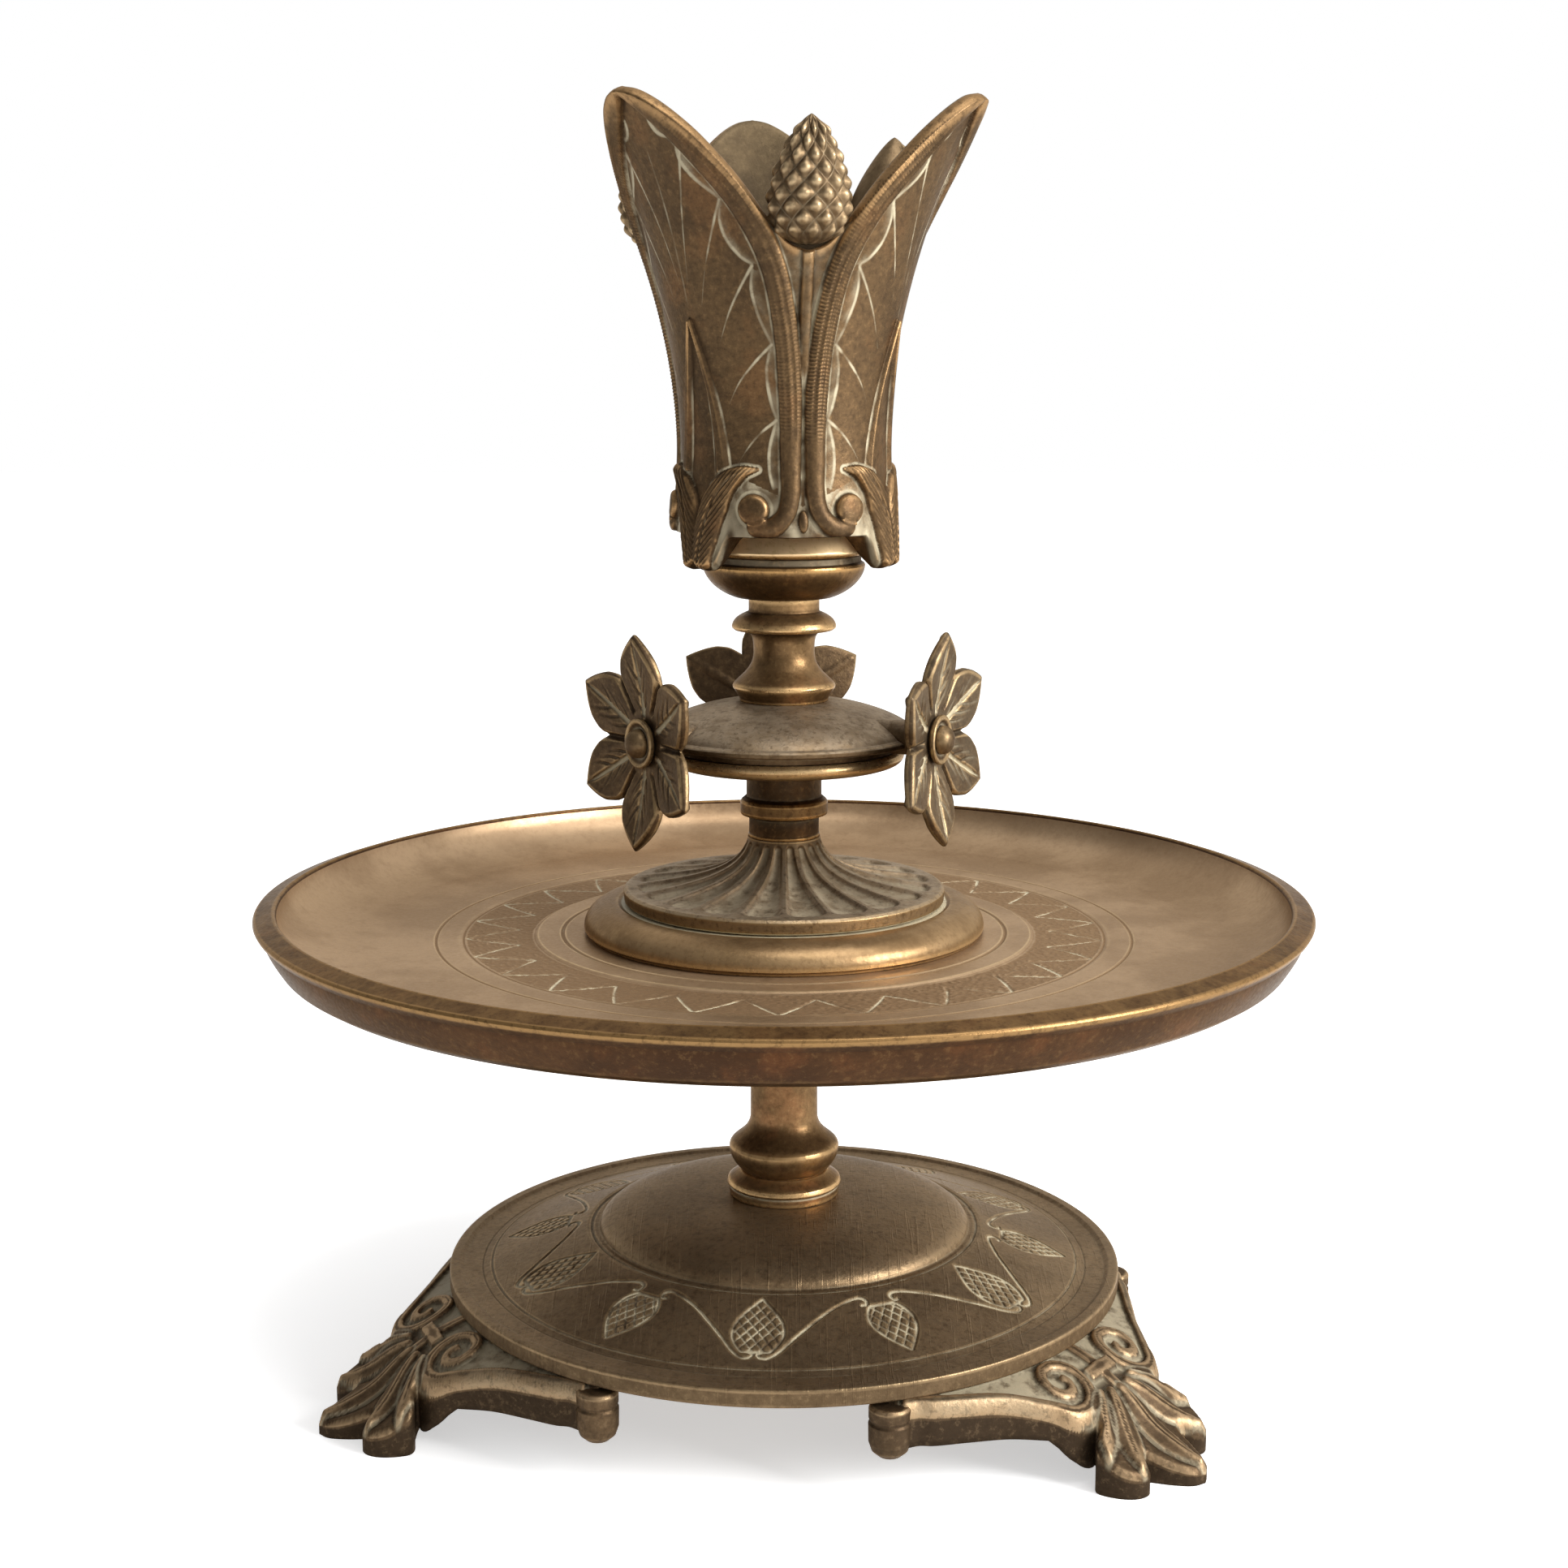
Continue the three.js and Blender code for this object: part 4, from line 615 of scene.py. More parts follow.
def fluted():
    """The stem's flared foot, with flutes that end in arches at its rim."""
    z, t = seat("fluted_foot"), top("fluted_foot")
    count, flutes = 640, 20
    rim = z + 2.2
    path = [(BORE, z + 0.02), (23.6, z + 0.02), (23.9, z + 0.3), (24, rim - 0.4), (23.6, rim),
            (22.6, rim + 0.05)]
    rows = [(r, h, e, 0.9 * (h < z + 0.25)) for r, h, e, _ in rows_of(path, 0.25, count)]
    curve = bezier((22.3, rim + 0.08), (12, rim + 1.5), (6.8, rim + 2.6), (5.4, t - 0.3), 90)
    tangent = np.gradient(curve, axis=0)
    tangent /= np.hypot(*tangent.T)[:, None]
    off = np.abs((np.arange(count) / count * flutes) % 1 - 0.5) * 2
    arch = 1.15 * roll(off, 0.86)
    for (r, h), (along_r, along_z) in zip(curve, tangent):
        shown = smooth(20.6 + 1.3 * arch - r, 0, 0.7) * smooth(t - h - 1.5 + 0.9 * arch, 0, 0.5)
        half = np.interp(r, [5, 8, 14, 24], [0.66, 0.74, 0.84, 0.88])
        deepest = np.interp(r, [5, 8, 14, 24], [0.35, 0.6, 0.9, 0.7])
        depth = deepest * shown * groove(off, half) ** 0.6
        crest = smooth(off, half - 0.1, half + 0.04) * shown
        floor = smooth(-off, -half, -half + 0.3) * shown
        rows.append((r - along_z * depth, h + along_r * depth, 0.4 * crest - 0.2 * floor,
                     0.4 * floor))
    rows += rows_of([(5.4, t - 0.28), (5.4, t - 0.02), (BORE, t - 0.02)], 0.05, count)
    piece("fluted_flare", revolved(rows), ["fluted_foot"], "dusty")


# Tray

def tray():
    """The tray's dish with its zigzag on a stippled band, and its wall and underside."""
    z, brim, rim = seat("tray"), top("tray"), radius_of("tray")
    floor, panel = z + 1.9, z + 2.2
    under = [(BORE, z), (rim - 5, z), (rim - 3.7, z + 0.8),
             *bezier((rim - 3.4, z + 1.1), (rim - 2.4, z + 2.6), (rim - 1.4, z + 4.2),
                     (rim - 1.2, brim - 2.8), 10),
             (rim - 0.3, brim - 1.9), (rim, brim - 1.35), (rim - 0.25, brim - 0.95),
             (rim - 3, brim - 0.05), (rim - 3.3, brim - 0.25)]
    cove = bezier((rim - 3.45, brim - 0.6), (rim - 4.1, brim - 3.4), (rim - 6.6, floor + 0.8),
                  (rim - 14, floor), 28)
    rows = rows_of([*cove, (56, floor), (53, floor)], 0.3, COARSE)
    wall = rows_of(under, 0.3, COARSE) + rows[:1]

    radii = np.concatenate([np.arange(52.6, 50.9, -0.18), np.arange(50.4, 48.2, -0.5),
                            np.arange(48.0, 36.0, -0.17), np.arange(35.8, 32.0, -0.18),
                            [31.5, 30.6]])
    r, azimuth = engraving_grid(radii)
    height = np.interp(r, [36.8, 37.3], [panel, floor])
    zigzags, first_azimuth, middle = 26, 6.2, 43.6
    pitch = 360 / zigzags
    phase = (azimuth - first_azimuth + pitch / 2) % pitch - pitch / 2
    x = np.radians(np.abs(phase)) * middle
    far_end = (np.radians(pitch / 2) * middle - 0.15, 47.2)
    stroke, _ = distance(x, r, [(0.15, 39.9), far_end])
    line = groove(stroke, 0.3)
    band = smooth(r, 37.4, 37.9) * smooth(-r, -47.6, -47.1) * (1 - line)
    stipple = rng.random((len(radii) // 2 + 1, FINE // 3))
    stipple = blurred(np.kron(stipple, np.ones((2, 3)))[:len(radii)], 1)
    keep = np.clip(0.75 + 0.3 * cloudy(r.shape, 80), 0.2, 1)
    circles = engraved_circles(r, ((47.75, 0.28, 0.7), (33.1, 0.35, 1.0), (51.8, 0.22, 0.8)))
    height = height - 0.22 * np.maximum(line, circles) - 0.16 * band * stipple
    edge = convexity(height, 5, 0.08) - band - 0.8 * circles
    pale = np.clip((line + 0.35 * groove(r - 33.1, 0.3)) * keep, 0, 1)
    rows += zip(r, height, edge, pale)
    rows += rows_of([(30.0, panel), (29, panel), (BORE, panel)], 0.1, COARSE)
    piece("tray_dish", revolved(rows), [], "tray")
    piece("tray_wall", revolved(wall), ["tray"], "wall")


# Leaf cup

CUP_BOTTOM, CUP_TOP = seat("leaf_cup"), top("leaf_cup")
CUP_FOOT, CUP_WAIST, CUP_MOUTH, CUP_WALL, CUP_FLOOR = 15.95, 14.95, 29.8, 1.6, 7
CUP_PROFILE = np.vstack([
    bezier((CUP_FOOT, 0), (CUP_FOOT, 4.76), (CUP_WAIST, 11.05), (CUP_WAIST, 17), 40),
    bezier((CUP_WAIST, 17), (15.14, 37.83), (24.57, 61.64), (CUP_MOUTH, 66.6), 80)[1:]
]) + (0, CUP_BOTTOM)


def cup_radius(z):
    return np.interp(z, CUP_PROFILE[:, 1], CUP_PROFILE[:, 0])


def cup_place(theta, rise):
    """Developed place on the cup: arc length from the valley's middle, and height."""
    z = CUP_BOTTOM + np.asarray(rise, float)
    return np.radians(theta) * cup_radius(z), z


def cup_line(pairs):
    theta, rise = spline(pairs).T
    return np.stack(cup_place(theta, rise), 1)


# Angle from the valley's middle and height above the cup's lower edge, along each line
RIB = [(59, 65.6), (50, 62.4), (38.5, 57.0), (25.5, 50.4), (14.6, 42.3), (9.2, 33.5), (7.1, 26.5),
       (6.5, 20.5), (6.6, 15), (6.5, 11.8), (8.2, 8.9), (12.6, 7.1), (18.2, 6.3), (23.6, 6.6)]
SCALLOPS = [
    [(53.5, 63.4), (54.3, 61.3), (52.3, 59.6), (47.5, 58.9)],
    [(46.5, 58.6), (46.6, 56.2), (43.6, 54.2), (38.4, 52.4), (34, 51.1)],
    [(33.6, 50.6), (35, 48.2), (33.2, 45.6), (28.3, 43.5), (23.3, 42.4)],
    [(23.4, 41.6), (24.4, 39.3), (23.1, 36.8), (20, 34.2), (16.2, 31.9)],
    [(16.4, 31.2), (18.6, 28.5), (18.2, 26), (16.4, 23.4), (13.9, 21.6)],
    [(14.2, 20.9), (17.5, 17.6), (17.8, 14.6), (15.6, 11.9)],
]
VEINS = [
    [(45, 58.2), (48.7, 53.2), (53.2, 46.9), (57.2, 39.8)],
    [(34, 50.8), (40, 46.1), (45.5, 41.8), (50.5, 37)],
    [(23.5, 42.1), (30, 39), (36.8, 35.5), (43.5, 31.2)],
    [(16, 31.6), (25, 29.1), (33.5, 26.4), (40, 23.4)],
    [(14, 21.3), (23, 19.4), (30, 17.3), (35, 15.4)],
]
FOOT_LEAF = [(24.3, 14.5), (33, 14.0), (42.5, 12.2), (49, 9.4), (53, 6.4), (55.2, 3.6), (56, 1.6)]
WEDGE = [(59.6, 35), (54.5, 29.5), (50, 24.2), (46.8, 18.9), (44.4, 13.6)]
LEAF_EDGE = [(2.0, 44.3), (6.0, 44.7), (10.5, 45.8), (15.0, 47.7), (20.0, 50.4), (27.0, 54.2),
             (34.0, 57.5), (39.5, 60.1), (44.0, 61.9), (48.5, 63.6), (53.5, 65.1), (58.0, 66.0),
             (62.0, 66.3)]
SKIRT = [(0, 5.0), (38, 5.0), (40.5, 4.6), (43.5, 3.2), (45.8, 1.7), (47.5, 0.8), (50, 0.25),
         (53, 0.0), (57, 0.15), (60, 0.9)]
EYE = (25.8, 8.9)
EYE_RADIUS = 2.25


def cup_relief(theta, z):
    """Height of the cup's relief and its residue, at angles from a valley's middle."""
    rise = z - CUP_BOTTOM
    side = np.abs(theta)
    u = np.radians(side) * cup_radius(z)
    to_middle = np.radians(60 - side) * cup_radius(z)

    # Rolled rib along the leaf's edge
    rib_line = cup_line(RIB)
    rib_u = np.interp(z, rib_line[::-1, 1], rib_line[::-1, 0])
    d_rib, along = distance(u, z, rib_line)
    half = np.interp(along, [0, 0.08, 0.3, 0.7, 0.86, 0.94, 1],
                     [0.8, 1.5, 1.75, 1.7, 1.45, 1.35, 1.6])
    off_rib = smooth(d_rib, half - 0.1, half + 0.15)
    crease = groove(d_rib - 0.45, 0.35) * smooth(along, 0.05, 0.3) * smooth(-along, -0.85, -0.7)
    ticks = np.sin(along * 900) * smooth(along, 0.08, 0.2) * smooth(-along, -0.82, -0.74)
    ticks *= (d_rib < half) * np.where(theta < 0, 0.3, 1.0)
    relief = 1.15 * roll(d_rib, half) - 0.12 * crease + 0.06 * ticks
    pale = 0.55 * groove(d_rib - half - 0.1, 0.3) * smooth(along, 0.05, 0.2)

    # Scalloped outline of the leaf's face, sunken beside the rib
    lobes = np.zeros_like(u)
    sunk = np.zeros_like(u)
    for pairs in SCALLOPS:
        line = cup_line(pairs)
        d, s = distance(u, z, line)
        lobes = np.maximum(lobes, groove(d, 0.34) * (0.5 + 0.5 * np.sin(np.pi * s)))
        edge_u = np.interp(z, line[::-1, 1], line[::-1, 0])
        within = (z > line[-1, 1]) & (z < line[0, 1]) & (u < edge_u) & (u > rib_u)
        sunk = np.maximum(sunk, within * np.clip(1 - (edge_u - u) / 2.2, 0.25, 1))
    relief = relief - off_rib * (0.26 * lobes + 0.3 * np.minimum(sunk * 3, 1))
    pale = np.maximum(pale, off_rib * np.maximum(0.95 * lobes, 0.42 * sunk))

    # Side veins and the middle vein
    for pairs in VEINS:
        d, s = distance(u, z, cup_line(pairs))
        vein = groove(d, np.interp(s, [0, 0.15, 0.6, 1], [0.34, 0.3, 0.22, 0.1])) * off_rib
        relief = relief - 0.22 * vein
        pale = np.maximum(pale, vein * np.interp(s, [0, 0.5, 1], [0.85, 0.75, 0.3]))
    spine = groove(to_middle, 0.3) * smooth(rise, 33, 36) * smooth(-rise, -61, -56)
    relief = relief - 0.18 * spine
    pale = np.maximum(pale, 0.35 * spine)

    # Raised wedge low on the leaf
    d, s = distance(u, z, cup_line(WEDGE))
    width = 0.25 + 1.2 * s
    wedge = np.clip(1 - d / width, 0, 1)
    relief = np.maximum(relief, 0.65 * np.minimum(wedge * 1.6, 1) * (d < width))
    beside = groove(d - width, 0.26) * smooth(s, 0.25, 0.6) * (to_middle > 1)
    pale = np.maximum(pale, 0.6 * beside)

    # Eye of the volute
    eye_u, eye_z = cup_place(*EYE)
    d_eye = np.hypot(u - eye_u, z - eye_z)
    eye = 1.3 * np.clip(1 - (d_eye / EYE_RADIUS) ** 6, 0, None) ** 0.5
    off_eye = smooth(d_eye, EYE_RADIUS - 0.1, EYE_RADIUS + 0.1)
    low_curl = (along > 0.93) * (z < eye_z) * smooth(-d_rib, -half, -half + 0.4)
    relief = np.maximum(relief, eye)
    on_eye = d_eye < EYE_RADIUS + 0.05
    relief = np.where(on_eye, np.maximum(relief, 1.2 * low_curl), relief)
    pale = np.maximum(pale * off_eye, groove(d_eye - EYE_RADIUS - 0.3, 0.4) * off_rib)

    # Small leaf at the foot
    d, s = distance(u, z, cup_line(FOOT_LEAF))
    width = np.interp(s, [0, 0.2, 0.5, 0.8, 1], [0.3, 1.4, 2.35, 2.3, 1.7])
    within = d < width
    hatch = 0.07 * np.sin((u * 1.2 + z) * 8.5) * smooth(-d / width, -0.9, -0.7)
    leaf = (1.35 - 0.35 * d / width) * np.clip(1 - (d / width) ** 5, 0, None) ** 0.5 + hatch
    leaf = leaf - 0.35 * groove(d, 0.3) * smooth(s, 0.15, 0.4)
    relief = np.where(within, np.maximum(relief, leaf * smooth(s, -0.05, 0.15)), relief)
    pale = np.where(within, 0.25 * groove(d, 0.2), pale)
    around = groove(d - width - 0.15, 0.38) * ~within * (d_eye > 2.2) * (to_middle > 1.6)
    pale = np.maximum(pale, around * np.where(u < eye_u + 2, 0.9, 0.6))

    # Sunken ground round the volutes, and the drop between them
    ground = (side < 50) & (rise < 14) & (rise < 9.4 + side * 0.12) & ~within
    ground = ground * off_eye * off_rib
    pale = np.maximum(pale, 0.52 * ground)
    relief = relief - 0.25 * ground
    drop = np.clip(1 - (u / 0.75) ** 2 - ((rise - 7.3) / 1.6) ** 2, 0, None) ** 0.5
    relief = np.maximum(relief, 0.6 * drop)
    pale = pale * (1 - 0.9 * (drop > 0.3))

    # Trough of the valley, and the pine cone's stem in it
    trough = (u < rib_u) * smooth(rise, 23, 26) * off_rib
    relief = relief - 0.3 * trough
    pale = np.maximum(pale, 0.3 * trough)
    stem = roll(u, 0.9) * smooth(rise, 24, 29)
    relief = np.maximum(relief, 0.9 * stem - 0.25)
    pale = pale * (1 - 0.3 * (u < 0.75) * smooth(rise, 26, 29))
    return relief, np.clip(pale, 0, 1)


def cup():
    """The leaf cup's outside with its skirt and rim, and its smooth inside."""
    columns, window = 960, 19
    azimuth = 360 * np.arange(columns) / columns
    theta = (azimuth - VALLEY_AZIMUTH + 60) % 120 - 60
    side = np.abs(theta)
    edge_angle, edge_rise = spline(LEAF_EDGE, 6).T
    high = np.interp(side, edge_angle, CUP_BOTTOM + edge_rise)
    high = np.minimum(high, CUP_TOP - 0.3) - 0.35
    wrapped = np.concatenate([high[-(window // 2):], high, high[:window // 2]])
    high = np.convolve(wrapped, np.ones(window) / window, "valid")
    low = CUP_BOTTOM + 0.1 + np.interp(side, *np.transpose(SKIRT))
    t = np.linspace(0, 1, 340)[:, None]
    z = low + (high - low) * t
    relief, pale = cup_relief(np.broadcast_to(theta, z.shape), z)
    relief = relief - 0.9 * np.clip(1 - (z - low) / 0.9, 0, 1) ** 2 * smooth(side, 38, 46)
    slope = np.gradient(CUP_PROFILE[:, 0]) / np.gradient(CUP_PROFILE[:, 1])
    lean = np.interp(z, CUP_PROFILE[:, 1], slope)
    size = np.sqrt(1 + lean ** 2)
    outer_r = cup_radius(z) + relief / size
    outer_z = z - relief * lean / size
    edge = convexity(relief, 10, 0.2, 1.1) + 0.7 * np.exp(-((1 - t) * 40) ** 2)
    pale = np.clip(pale * (0.85 + 0.2 * cloudy(z.shape, 40)), 0, 1)

    none = np.zeros(columns)
    underside_reach, underside_rise = 9.0, 5.05
    rows = [(none + underside_reach, none + CUP_BOTTOM + underside_rise, none, none),
            (cup_radius(low) - CUP_WALL, low, none, none), *zip(outer_r, outer_z, edge, pale)]
    end_r, end_z = outer_r[-1], outer_z[-1]
    step_r, step_z = end_r - outer_r[-2], end_z - outer_z[-2]
    inner_r = cup_radius(high) - CUP_WALL
    for s in (0.15, 0.35, 0.6, 0.85):
        bulge = 0.45 * math.sin(math.pi * s) / np.hypot(step_r, step_z)
        rows.append((end_r + (inner_r - end_r) * s + step_r * bulge,
                     end_z + (high - end_z) * s + step_z * bulge, none + 0.7, none))
    piece("leaves", revolved(rows), ["leaf_cup"], "leaf")

    hollow, floor = rows[-1:], CUP_BOTTOM + CUP_FLOOR
    for t in np.linspace(0, 1, 90):
        height = high + (floor - high) * t
        worn = 0.35 * math.exp(-(t * 30) ** 2)
        hollow.append((cup_radius(height) - CUP_WALL, height, none + worn, none))
    for nut_seat_r, height in ((5.5, floor), (5.3, floor + 0.5), (2.75, floor + 0.5)):
        hollow.append((none + nut_seat_r, none + height, none, none))
    piece("leaves_inside", revolved(hollow), [], "inner")


def pine_cones():
    """A pine cone in each valley, with scales that overlap in two spirals."""
    around, rings, scales = 190, 190, 10
    foot, length = CUP_BOTTOM + 44.9, 17.0
    s = np.linspace(0, 1, rings)[:, None]
    k = np.arange(around)[None, :] / around
    body = np.maximum(5.35 * np.clip(np.sin(np.pi * s ** 0.6), 0, 1) ** 0.7, 0.05)
    climb = 5.0 * s ** 0.94
    fp, fq = (np.abs((scales * k + hand * climb) % 1 - 0.5) * 2 for hand in (1, -1))
    scale = (1 - fp ** 1.8) * (1 - fq ** 1.8)
    front = smooth(np.cos(2 * np.pi * k), -0.25, 0.1)
    shown = smooth(s, 0.0, 0.1) * smooth(1 - s, 0.0, 0.12) * front
    line = np.maximum(smooth(fp, 0.86, 0.98), smooth(fq, 0.86, 0.98)) * shown
    r = body + 0.8 * scale * shown
    x = 18.0 + 3.3 * s + r * np.cos(2 * np.pi * k)
    y = r * np.sin(2 * np.pi * k)
    z = np.broadcast_to(foot + length * s, x.shape)
    edge = np.clip((scale - 0.35) * 1.7, -0.8, 0.8) * front
    points = np.stack([x, y, z], -1).reshape(-1, 3)
    shape = (points, strip(rings, around), edge.ravel(), 0.3 * line.ravel())
    for n in range(3):
        piece(f"pine_cone_{n + 1}", swung(shape, VALLEY_AZIMUTH + 120 * n), [],
              "cone")


# Flowers

def flower_mesh():
    """A flower of six broad petals, cupped outwards, built on the lug that points along +X."""
    columns, petals = 360, 6
    reach = 15.6
    a = 2 * np.pi * np.arange(columns) / columns
    s = np.abs((a / (2 * np.pi) * petals + 0.5) % 1 - 0.5) * 2
    half_petal = math.pi / petals
    tip = reach - 6.2 * np.interp(s, [0, 0.22, 0.4, 0.58, 0.8, 1],
                                  [0.02, 0.2, 0.335, 0.468, 0.69, 1])
    t = np.linspace(0.09, 1, 60)[:, None]
    radius = t * tip
    across = radius * np.sin(s * half_petal)
    out = radius * np.cos(s * half_petal)
    between = radius * np.sin((1 - s) * half_petal)
    room = tip - radius
    crown_height = 1.3 - 0.5 * np.clip(1 - room / 0.9, 0, 1) ** 2
    narrow = np.interp(out, [3, 6, 12, 15], [0.6, 0.5, 0.32, 0.18])
    middle = groove(across, narrow) * smooth(out, 3.4, 4.4) * smooth(reach - out, 0.6, 2.5)
    veins = np.zeros_like(radius)
    for start in (4.6, 6.8, 9.0):
        vein = spline([(0.3, start), (1.4, start + 1.5), (2.3, start + 3.4)])
        d, v = distance(across, out, vein)
        veins = np.maximum(veins, groove(d, 0.24) * (1 - 0.7 * v))
    swell = 0.35 * np.sin(s * math.pi) * smooth(t, 0.3, 0.6)
    valley = groove(between, 0.55) * smooth(out, 3.8, 5.0)
    front = crown_height + swell - 0.5 * middle - 0.2 * veins - 0.55 * valley
    edge = convexity(front, 4, 0.09, 1) + 0.6 * np.exp(-(room / 0.5) ** 2)
    pale = np.clip(0.95 * middle + 0.3 * veins, 0, 1)

    none = np.zeros(columns)
    rings = list(zip(radius, front, edge, pale))
    for depth, grow in ((0.62, 0.1), (0.35, 0.12), (0.1, 0.0)):
        rings.append((tip + grow, none + depth, none + 0.6, none))
    for back in np.linspace(0.97, 0.1, 24):
        rib = groove(back * tip * np.sin(s * half_petal), 0.8) * smooth(back, 0.2, 0.4)
        rings.append((tip * back, -0.25 * rib, none, none))
    radius, depth, edge, pale = (np.concatenate(part) for part in zip(*rings))
    a = np.tile(a, len(rings))
    cupped = 2.4 * (radius / reach) ** 2
    points = np.stack([LUG_REACH + cupped + depth, radius * np.sin(a),
                       FLOWER_HEIGHT + radius * np.cos(a)], 1)
    return points, strip(len(rings), columns), edge, pale


def flowers():
    points, faces, edge, pale = flower_mesh()
    lo, hi = (np.array(corner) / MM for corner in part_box("flower_collar_1"))
    turn = math.radians(FLOWER_AZIMUTH - 90)
    reach = ((lo + hi) / 2)[:2] @ [math.cos(turn), math.sin(turn)] - 0.45
    dish = [(1.4, 0.05), (3.3, 0.0), (3.6, 0.35), (3.6, 0.8), (3.35, 0.95), (3.0, 0.85),
            (2.3, 0.45), (1.4, 0.42)]
    ring = lying(revolved(rows_of(dish, 0.15, 96, 0.9)), reach)
    head = [(0.9, 0.1), (2.0, 0.1), (2.1, 0.25),
            *bezier((2.1, 0.35), (2.05, 1.5), (1.2, 2.1), (0.01, 2.15), 12)]
    screw = lying(revolved(rows_of(head, 0.1, 96, 0.9)), reach + 0.4)
    right_flower_residue = 0.2
    for k in range(3):
        residue = np.clip(pale + right_flower_residue, 0, 1) if k == 0 else pale
        for title, node, slot, shape in (
                ("flower", "flower", "bronze_flower", (points, faces, edge, residue)),
                ("flower_ring", "flower_collar", "bronze_flower", ring),
                ("flower_button", "flower_screw", "brass_turned", screw)):
            piece(f"{title}_piece_{k + 1}", swung(shape, FLOWER_AZIMUTH + 120 * k),
                  [f"{node}_{k + 1}"], "flower")


# Feet

FOOT_TOP = top("foot_1")
VOLUTE = (54.2, 8.2)


def foot_outline():
    """Plan of a foot, from the toe's tip round one side; the other side mirrors it."""
    toe = spline([(72.5, 0.0), (71.6, 1.9), (69.2, 3.4), (66.2, 4.6), (65.9, 5.4), (67.9, 7.4),
                  (67.6, 9.6), (65.6, 11.2), (62.6, 11.8), (61.3, 10.8), (60.6, 8.6)], 6)
    scroll = [(VOLUTE[0] + 5.7 * math.cos(a), VOLUTE[1] + 5.7 * math.sin(a))
              for a in np.radians(np.linspace(0, 62, 9))]
    arm = spline([(55.6, 14.4), (51.9, 18.0), (48.6, 22.4), (45.6, 26.4), (43.9, 28.0),
                  (42.6, 29.9), (40.6, 30.2), (39.4, 28.6), (39.0, 24.0), (38.8, 12.0),
                  (38.8, 0.0)], 6)
    return np.vstack([toe, scroll, arm])


def crown(r):
    """Height of a foot's upper side, without its relief."""
    reach, height = spline([(50.6, 13.8), (54.5, 12.35), (59.7, 9.4), (64.3, 5.4), (68.5, 3.4),
                            (72.8, 2.2)], 12).T
    return np.interp(r, reach, height)


def foot_underside(r):
    return np.interp(r, [38, 47, 49, 57.6, 59.9, 61.5, 80], [10.8, 10.8, 8.5, 6.8, 3.4, 0.0, 0.0])


def foot_relief(x, y):
    """Relief on a foot's upper side and its residue: scroll bands, bar, lobes and field."""
    side = np.abs(y)
    arm_angle = math.radians(34.5)
    start = (51 * math.cos(arm_angle) + 0.9, 51 * math.sin(arm_angle) - 0.2)
    t = np.linspace(0, 1, 26)
    angle = math.radians(60) - t * 1.45 * 2 * math.pi
    reach = 4.9 - 4.0 * t
    curl = np.stack([VOLUTE[0] + reach * np.cos(angle), VOLUTE[1] + reach * np.sin(angle)], 1)
    plan = [start, (47.0, 23.6), (50.6, 18.9), (54.4, 14.9), *curl]
    d, s = distance(x, side, spline(plan, 3))
    half = np.interp(s, [0, 0.3, 0.6, 1], [1.25, 1.25, 1.0, 0.7])
    band = np.clip(1 - (d / half) ** 4, 0, None) ** 0.5
    face = smooth(-d / half, -0.75, -0.55) * smooth(-s, -0.5, -0.35)
    relief = 0.85 * band - 0.22 * face - 0.12 * groove(d, 0.22) * smooth(s, 0.4, 0.5)
    pale = np.maximum(0.55 * groove(d - half - 0.25, 0.45), 0.28 * face)

    bar = (np.abs(x - 55.4) < 0.9) & (side < 3.2)
    relief = np.where(bar, 0.9, relief)
    stem = (side < 0.9) & (x > 50) & (x < 60)
    relief = np.where(stem, np.maximum(relief, 0.6), relief)
    for root, tip, wide in (((59.2, 0.0), (72.0, 0.0), 2.3), ((58.8, 2.2), (67.4, 8.6), 2.1),
                            ((58.2, 4.2), (63.6, 11.2), 1.7)):
        d, s = distance(x, side, [root, tip])
        half = wide * np.sin(np.pi * (0.14 + 0.78 * s))
        lobe = np.clip(1 - d / half, 0, 1)
        on_lobe = lobe > 0
        relief = np.maximum(relief, (0.35 + 0.95 * lobe) * on_lobe)
        relief = relief - 0.3 * groove(d, 0.24) * on_lobe
        pale = np.maximum(pale, 0.45 * groove(np.abs(d - half), 0.4))
    field = smooth(-x, -58.5, -56.0) * (np.hypot(x, y) > 50.0) * (side < 24) * (relief < 0.1)
    return relief, np.clip(np.maximum(pale, 0.55 * field), 0, 1)


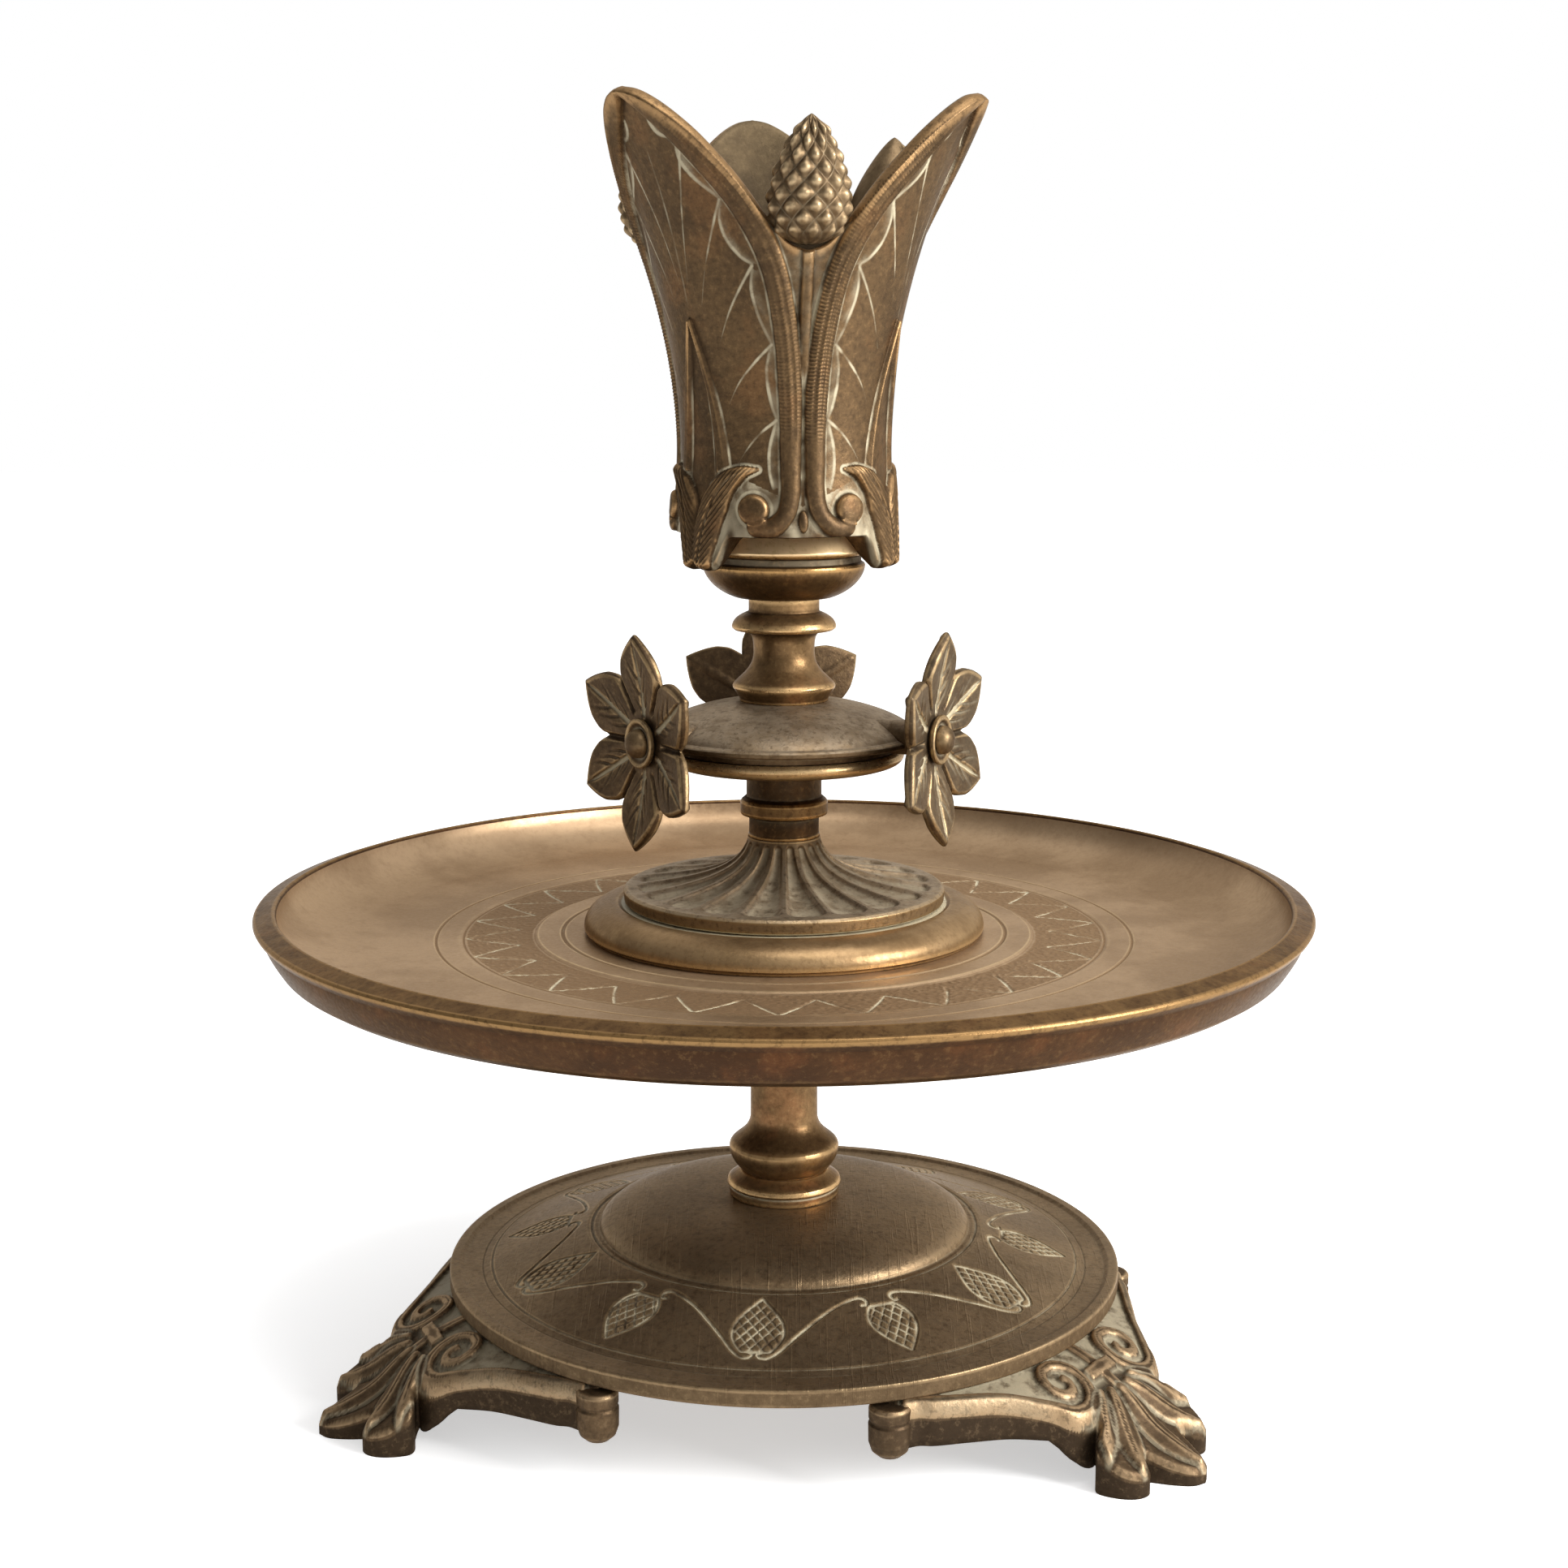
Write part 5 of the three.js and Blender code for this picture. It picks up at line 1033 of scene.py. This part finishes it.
def foot_mesh():
    """A foot on a fine grid whose rim is pulled onto the outline, closed by upright walls."""
    half_outline = foot_outline()
    outline = np.vstack([half_outline, (half_outline * [1, -1])[::-1][1:]])
    step = 0.3
    x, y = np.meshgrid(np.arange(38.0, 73.6, step), np.arange(-33.0, 33.01, step), indexing="ij")
    d, _ = distance(x, y, outline)
    signed = np.where(inside(x, y, outline), d, -d)
    held = signed > -0.45 * step
    cells = held[:-1, :-1] & held[1:, :-1] & held[1:, 1:] & held[:-1, 1:]
    full = np.zeros(held.shape, int)
    for dx, dy in ((0, 0), (1, 0), (1, 1), (0, 1)):
        full[dx:dx + cells.shape[0], dy:dy + cells.shape[1]] += cells
    used = full > 0
    rim = used & (full < 4)
    gx, gy = np.gradient(signed, step)
    size = np.maximum(np.hypot(gx, gy), 0.3)
    x = np.where(rim, x - gx / size * signed, x)
    y = np.where(rim, y - gy / size * signed, y)
    room = np.where(rim, 0, np.clip(signed, 0, None))
    relief, pale = foot_relief(x, y)

    r = np.hypot(x, y)
    soften = 0.8
    lack = soften - np.clip(room, 0, soften)
    drop = soften - np.sqrt(np.clip(soften ** 2 - lack ** 2, 0, None))
    free = crown(r) + relief * smooth(room, 0.0, 0.7) - drop
    free = np.where(r < 51.3, np.minimum(free, FOOT_TOP - 0.1), free)
    under_base = r < 50.3
    high = np.where(under_base, FOOT_TOP, free)
    low = np.minimum(foot_underside(r), high - 1.0)
    n = used.sum()
    index = np.full(held.shape, -1)
    index[used] = np.arange(n)
    i, j = np.where(cells)
    quads = np.stack([index[i, j], index[i + 1, j], index[i + 1, j + 1], index[i, j + 1]], 1)
    upper = np.stack([x[used], y[used], high[used]], 1)
    lower = np.stack([x[used], y[used], low[used]], 1)

    pairs = np.stack([quads.T.ravel(), np.roll(quads, -1, 1).T.ravel()], 1)
    key = pairs[:, 0] * n + pairs[:, 1]
    border = pairs[~np.isin(key, pairs[:, 1] * n + pairs[:, 0])]
    ids = np.unique(border)
    a, b = np.searchsorted(ids, border).T
    faces = [quads, quads[:, ::-1] + n]
    points, levels = [upper, lower], [ids]
    for t in (0.25, 0.5, 0.75):
        levels.append(sum(map(len, points)) + np.arange(len(ids)))
        points.append(upper[ids] + (lower[ids] - upper[ids]) * t)
    levels.append(ids + n)
    for up, down in zip(levels[:-1], levels[1:]):
        faces.append(np.stack([up[b], up[a], down[a], down[b]], 1))
    points = np.vstack(points)
    edge = convexity(np.where(used, relief, 0), 5, 0.14) + 0.9 * np.exp(-(room / 0.5) ** 2)
    edge = edge * ~under_base
    others = len(points) - n
    # The side walls and underside are set low, which darkens them: painted shade.
    edge = np.concatenate([edge[used], np.full(others, -0.9)])
    return points, faces, edge, np.concatenate([pale[used], np.zeros(others)])


def knob_mesh(hand):
    """Rolled end of an arm: an upright drum with a round bottom."""
    path = [(0.02, 6.1), (1.6, 6.4), (2.5, 7.2), (2.9, 8.4), (2.95, 11.0), (2.7, 11.4),
            (2.9, 11.8), (2.9, 13.2), (2.6, 13.6), (0.02, 13.7)]
    points, faces, edge, pale = revolved(rows_of(path, 0.3, 72))
    place, reach = math.radians(36.5) * hand, 50.2
    return points + [reach * math.cos(place), reach * math.sin(place), 0], faces, 0.7 * edge, pale


def feet():
    shape = joined([foot_mesh(), knob_mesh(-1), knob_mesh(1)])
    for k in range(3):
        piece(f"scroll_foot_{k + 1}", swung(shape, FOOT_AZIMUTH + 120 * k), [f"foot_{k + 1}"],
              "foot")


def fittings():
    """The hidden rod, nuts, washer and screws keep their solids."""
    iron = ["tie_rod", "base_washer", "base_nut", "foot_screw_1", "foot_screw_2", "foot_screw_3"]
    for name in [*iron, "cup_nut"]:
        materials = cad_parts[name].data.materials
        materials.clear()
        materials.append(look["iron" if name in iron else "brass"])


# Room

FRONT_LEFT, FRONT_RIGHT, BACK = 0.22, 0.95, 1.0
FLOOR_REACH, FLOOR_GLOW = 3.0, 0.52
LENS, CAMERA_PLACE, CAMERA_PITCH = 54.76, (0, -0.3494, 0.1515), 10.02
LAMPS = (("key", (0.85, -0.42, 0.46), 0.45, 15.0), ("over", (0.25, -0.2, 0.95), 0.6, 4.0))


def placed(name, data, location):
    """An object in the scene for a mesh, a lamp or the camera."""
    obj = bpy.data.objects.new(name, data)
    obj.location = location
    bpy.context.scene.collection.objects.link(obj)
    return obj


def backdrop(world):
    """Light of the room: dim at the front left, bright at the front right and behind."""
    nodes = Nodes(world)
    direction = nodes.make("TexCoord").outputs["Generated"]
    split = nodes.make("SeparateXYZ", {0: direction}).outputs
    front = nodes.math("MULTIPLY", nodes.ramp(split["X"], -0.5, 0.6, FRONT_LEFT, FRONT_RIGHT),
                       nodes.ramp(split["Z"], -0.05, 0.6, 0.8, 1.2))
    values = {"Factor": nodes.ramp(split["Y"], 0.1, 0.7), "A": front, "B": BACK}
    strength = nodes.make("Mix", values, data_type="FLOAT").outputs["Result"]
    background = nodes.make("Background", {"Color": (1, 1, 1, 1), "Strength": strength})
    nodes.make("OutputWorld", {"Surface": background.outputs[0]})


def paper():
    """White paper that glows a little where it is seen, but lights nothing."""
    material = bpy.data.materials.new("floor_paper")
    nodes = Nodes(material)
    grain = nodes.make("TexNoise", {"Scale": 900.0}).outputs["Fac"]
    tone = nodes.make("MapRange", {"Value": grain, "To Min": 0.9, "To Max": 0.93})
    diffuse = nodes.make("BsdfDiffuse", {"Color": tone.outputs["Result"]})
    ray = nodes.make("LightPath").outputs
    seen = nodes.math("MAXIMUM", ray["Is Camera Ray"], ray["Is Glossy Ray"])
    seen = nodes.math("MAXIMUM", seen, ray["Is Transmission Ray"])
    glow = nodes.make("Emission", {"Strength": nodes.math("MULTIPLY", seen, FLOOR_GLOW)})
    both = nodes.make("AddShader", {0: diffuse.outputs[0], 1: glow.outputs[0]})
    nodes.make("OutputMaterial", {"Surface": both.outputs[0]})
    return material


def studio():
    scene = bpy.context.scene
    scene.world = bpy.data.worlds.new("studio")
    backdrop(scene.world)

    mesh = bpy.data.meshes.new("floor")
    far = FLOOR_REACH
    corners = [(-far, -far, 0), (far, -far, 0), (far, far, 0), (-far, far, 0)]
    mesh.from_pydata(corners, [], [(0, 1, 2, 3)])
    mesh.materials.append(paper())
    placed("floor", mesh, (0, 0, 0))

    aim = Vector((0, 0, 0.09))
    for name, place, width, power in LAMPS:
        lamp = bpy.data.lights.new(name, "AREA")
        lamp.shape = "SQUARE"
        lamp.size = width
        lamp.energy = power
        toward = (aim - Vector(place)).to_track_quat("-Z", "Y")
        placed(name, lamp, place).rotation_euler = toward.to_euler()

    camera = bpy.data.cameras.new("camera")
    camera.lens = LENS
    camera.sensor_width = 36
    camera.clip_start = 0.01
    scene.camera = placed("camera", camera, CAMERA_PLACE)
    scene.camera.rotation_euler = (math.radians(90 - CAMERA_PITCH), 0, 0)
    scene.view_settings.view_transform = "Standard"


base()
lower_stack()
knop()
upper_stack()
fluted()
tray()
cup()
pine_cones()
flowers()
feet()
fittings()
studio()
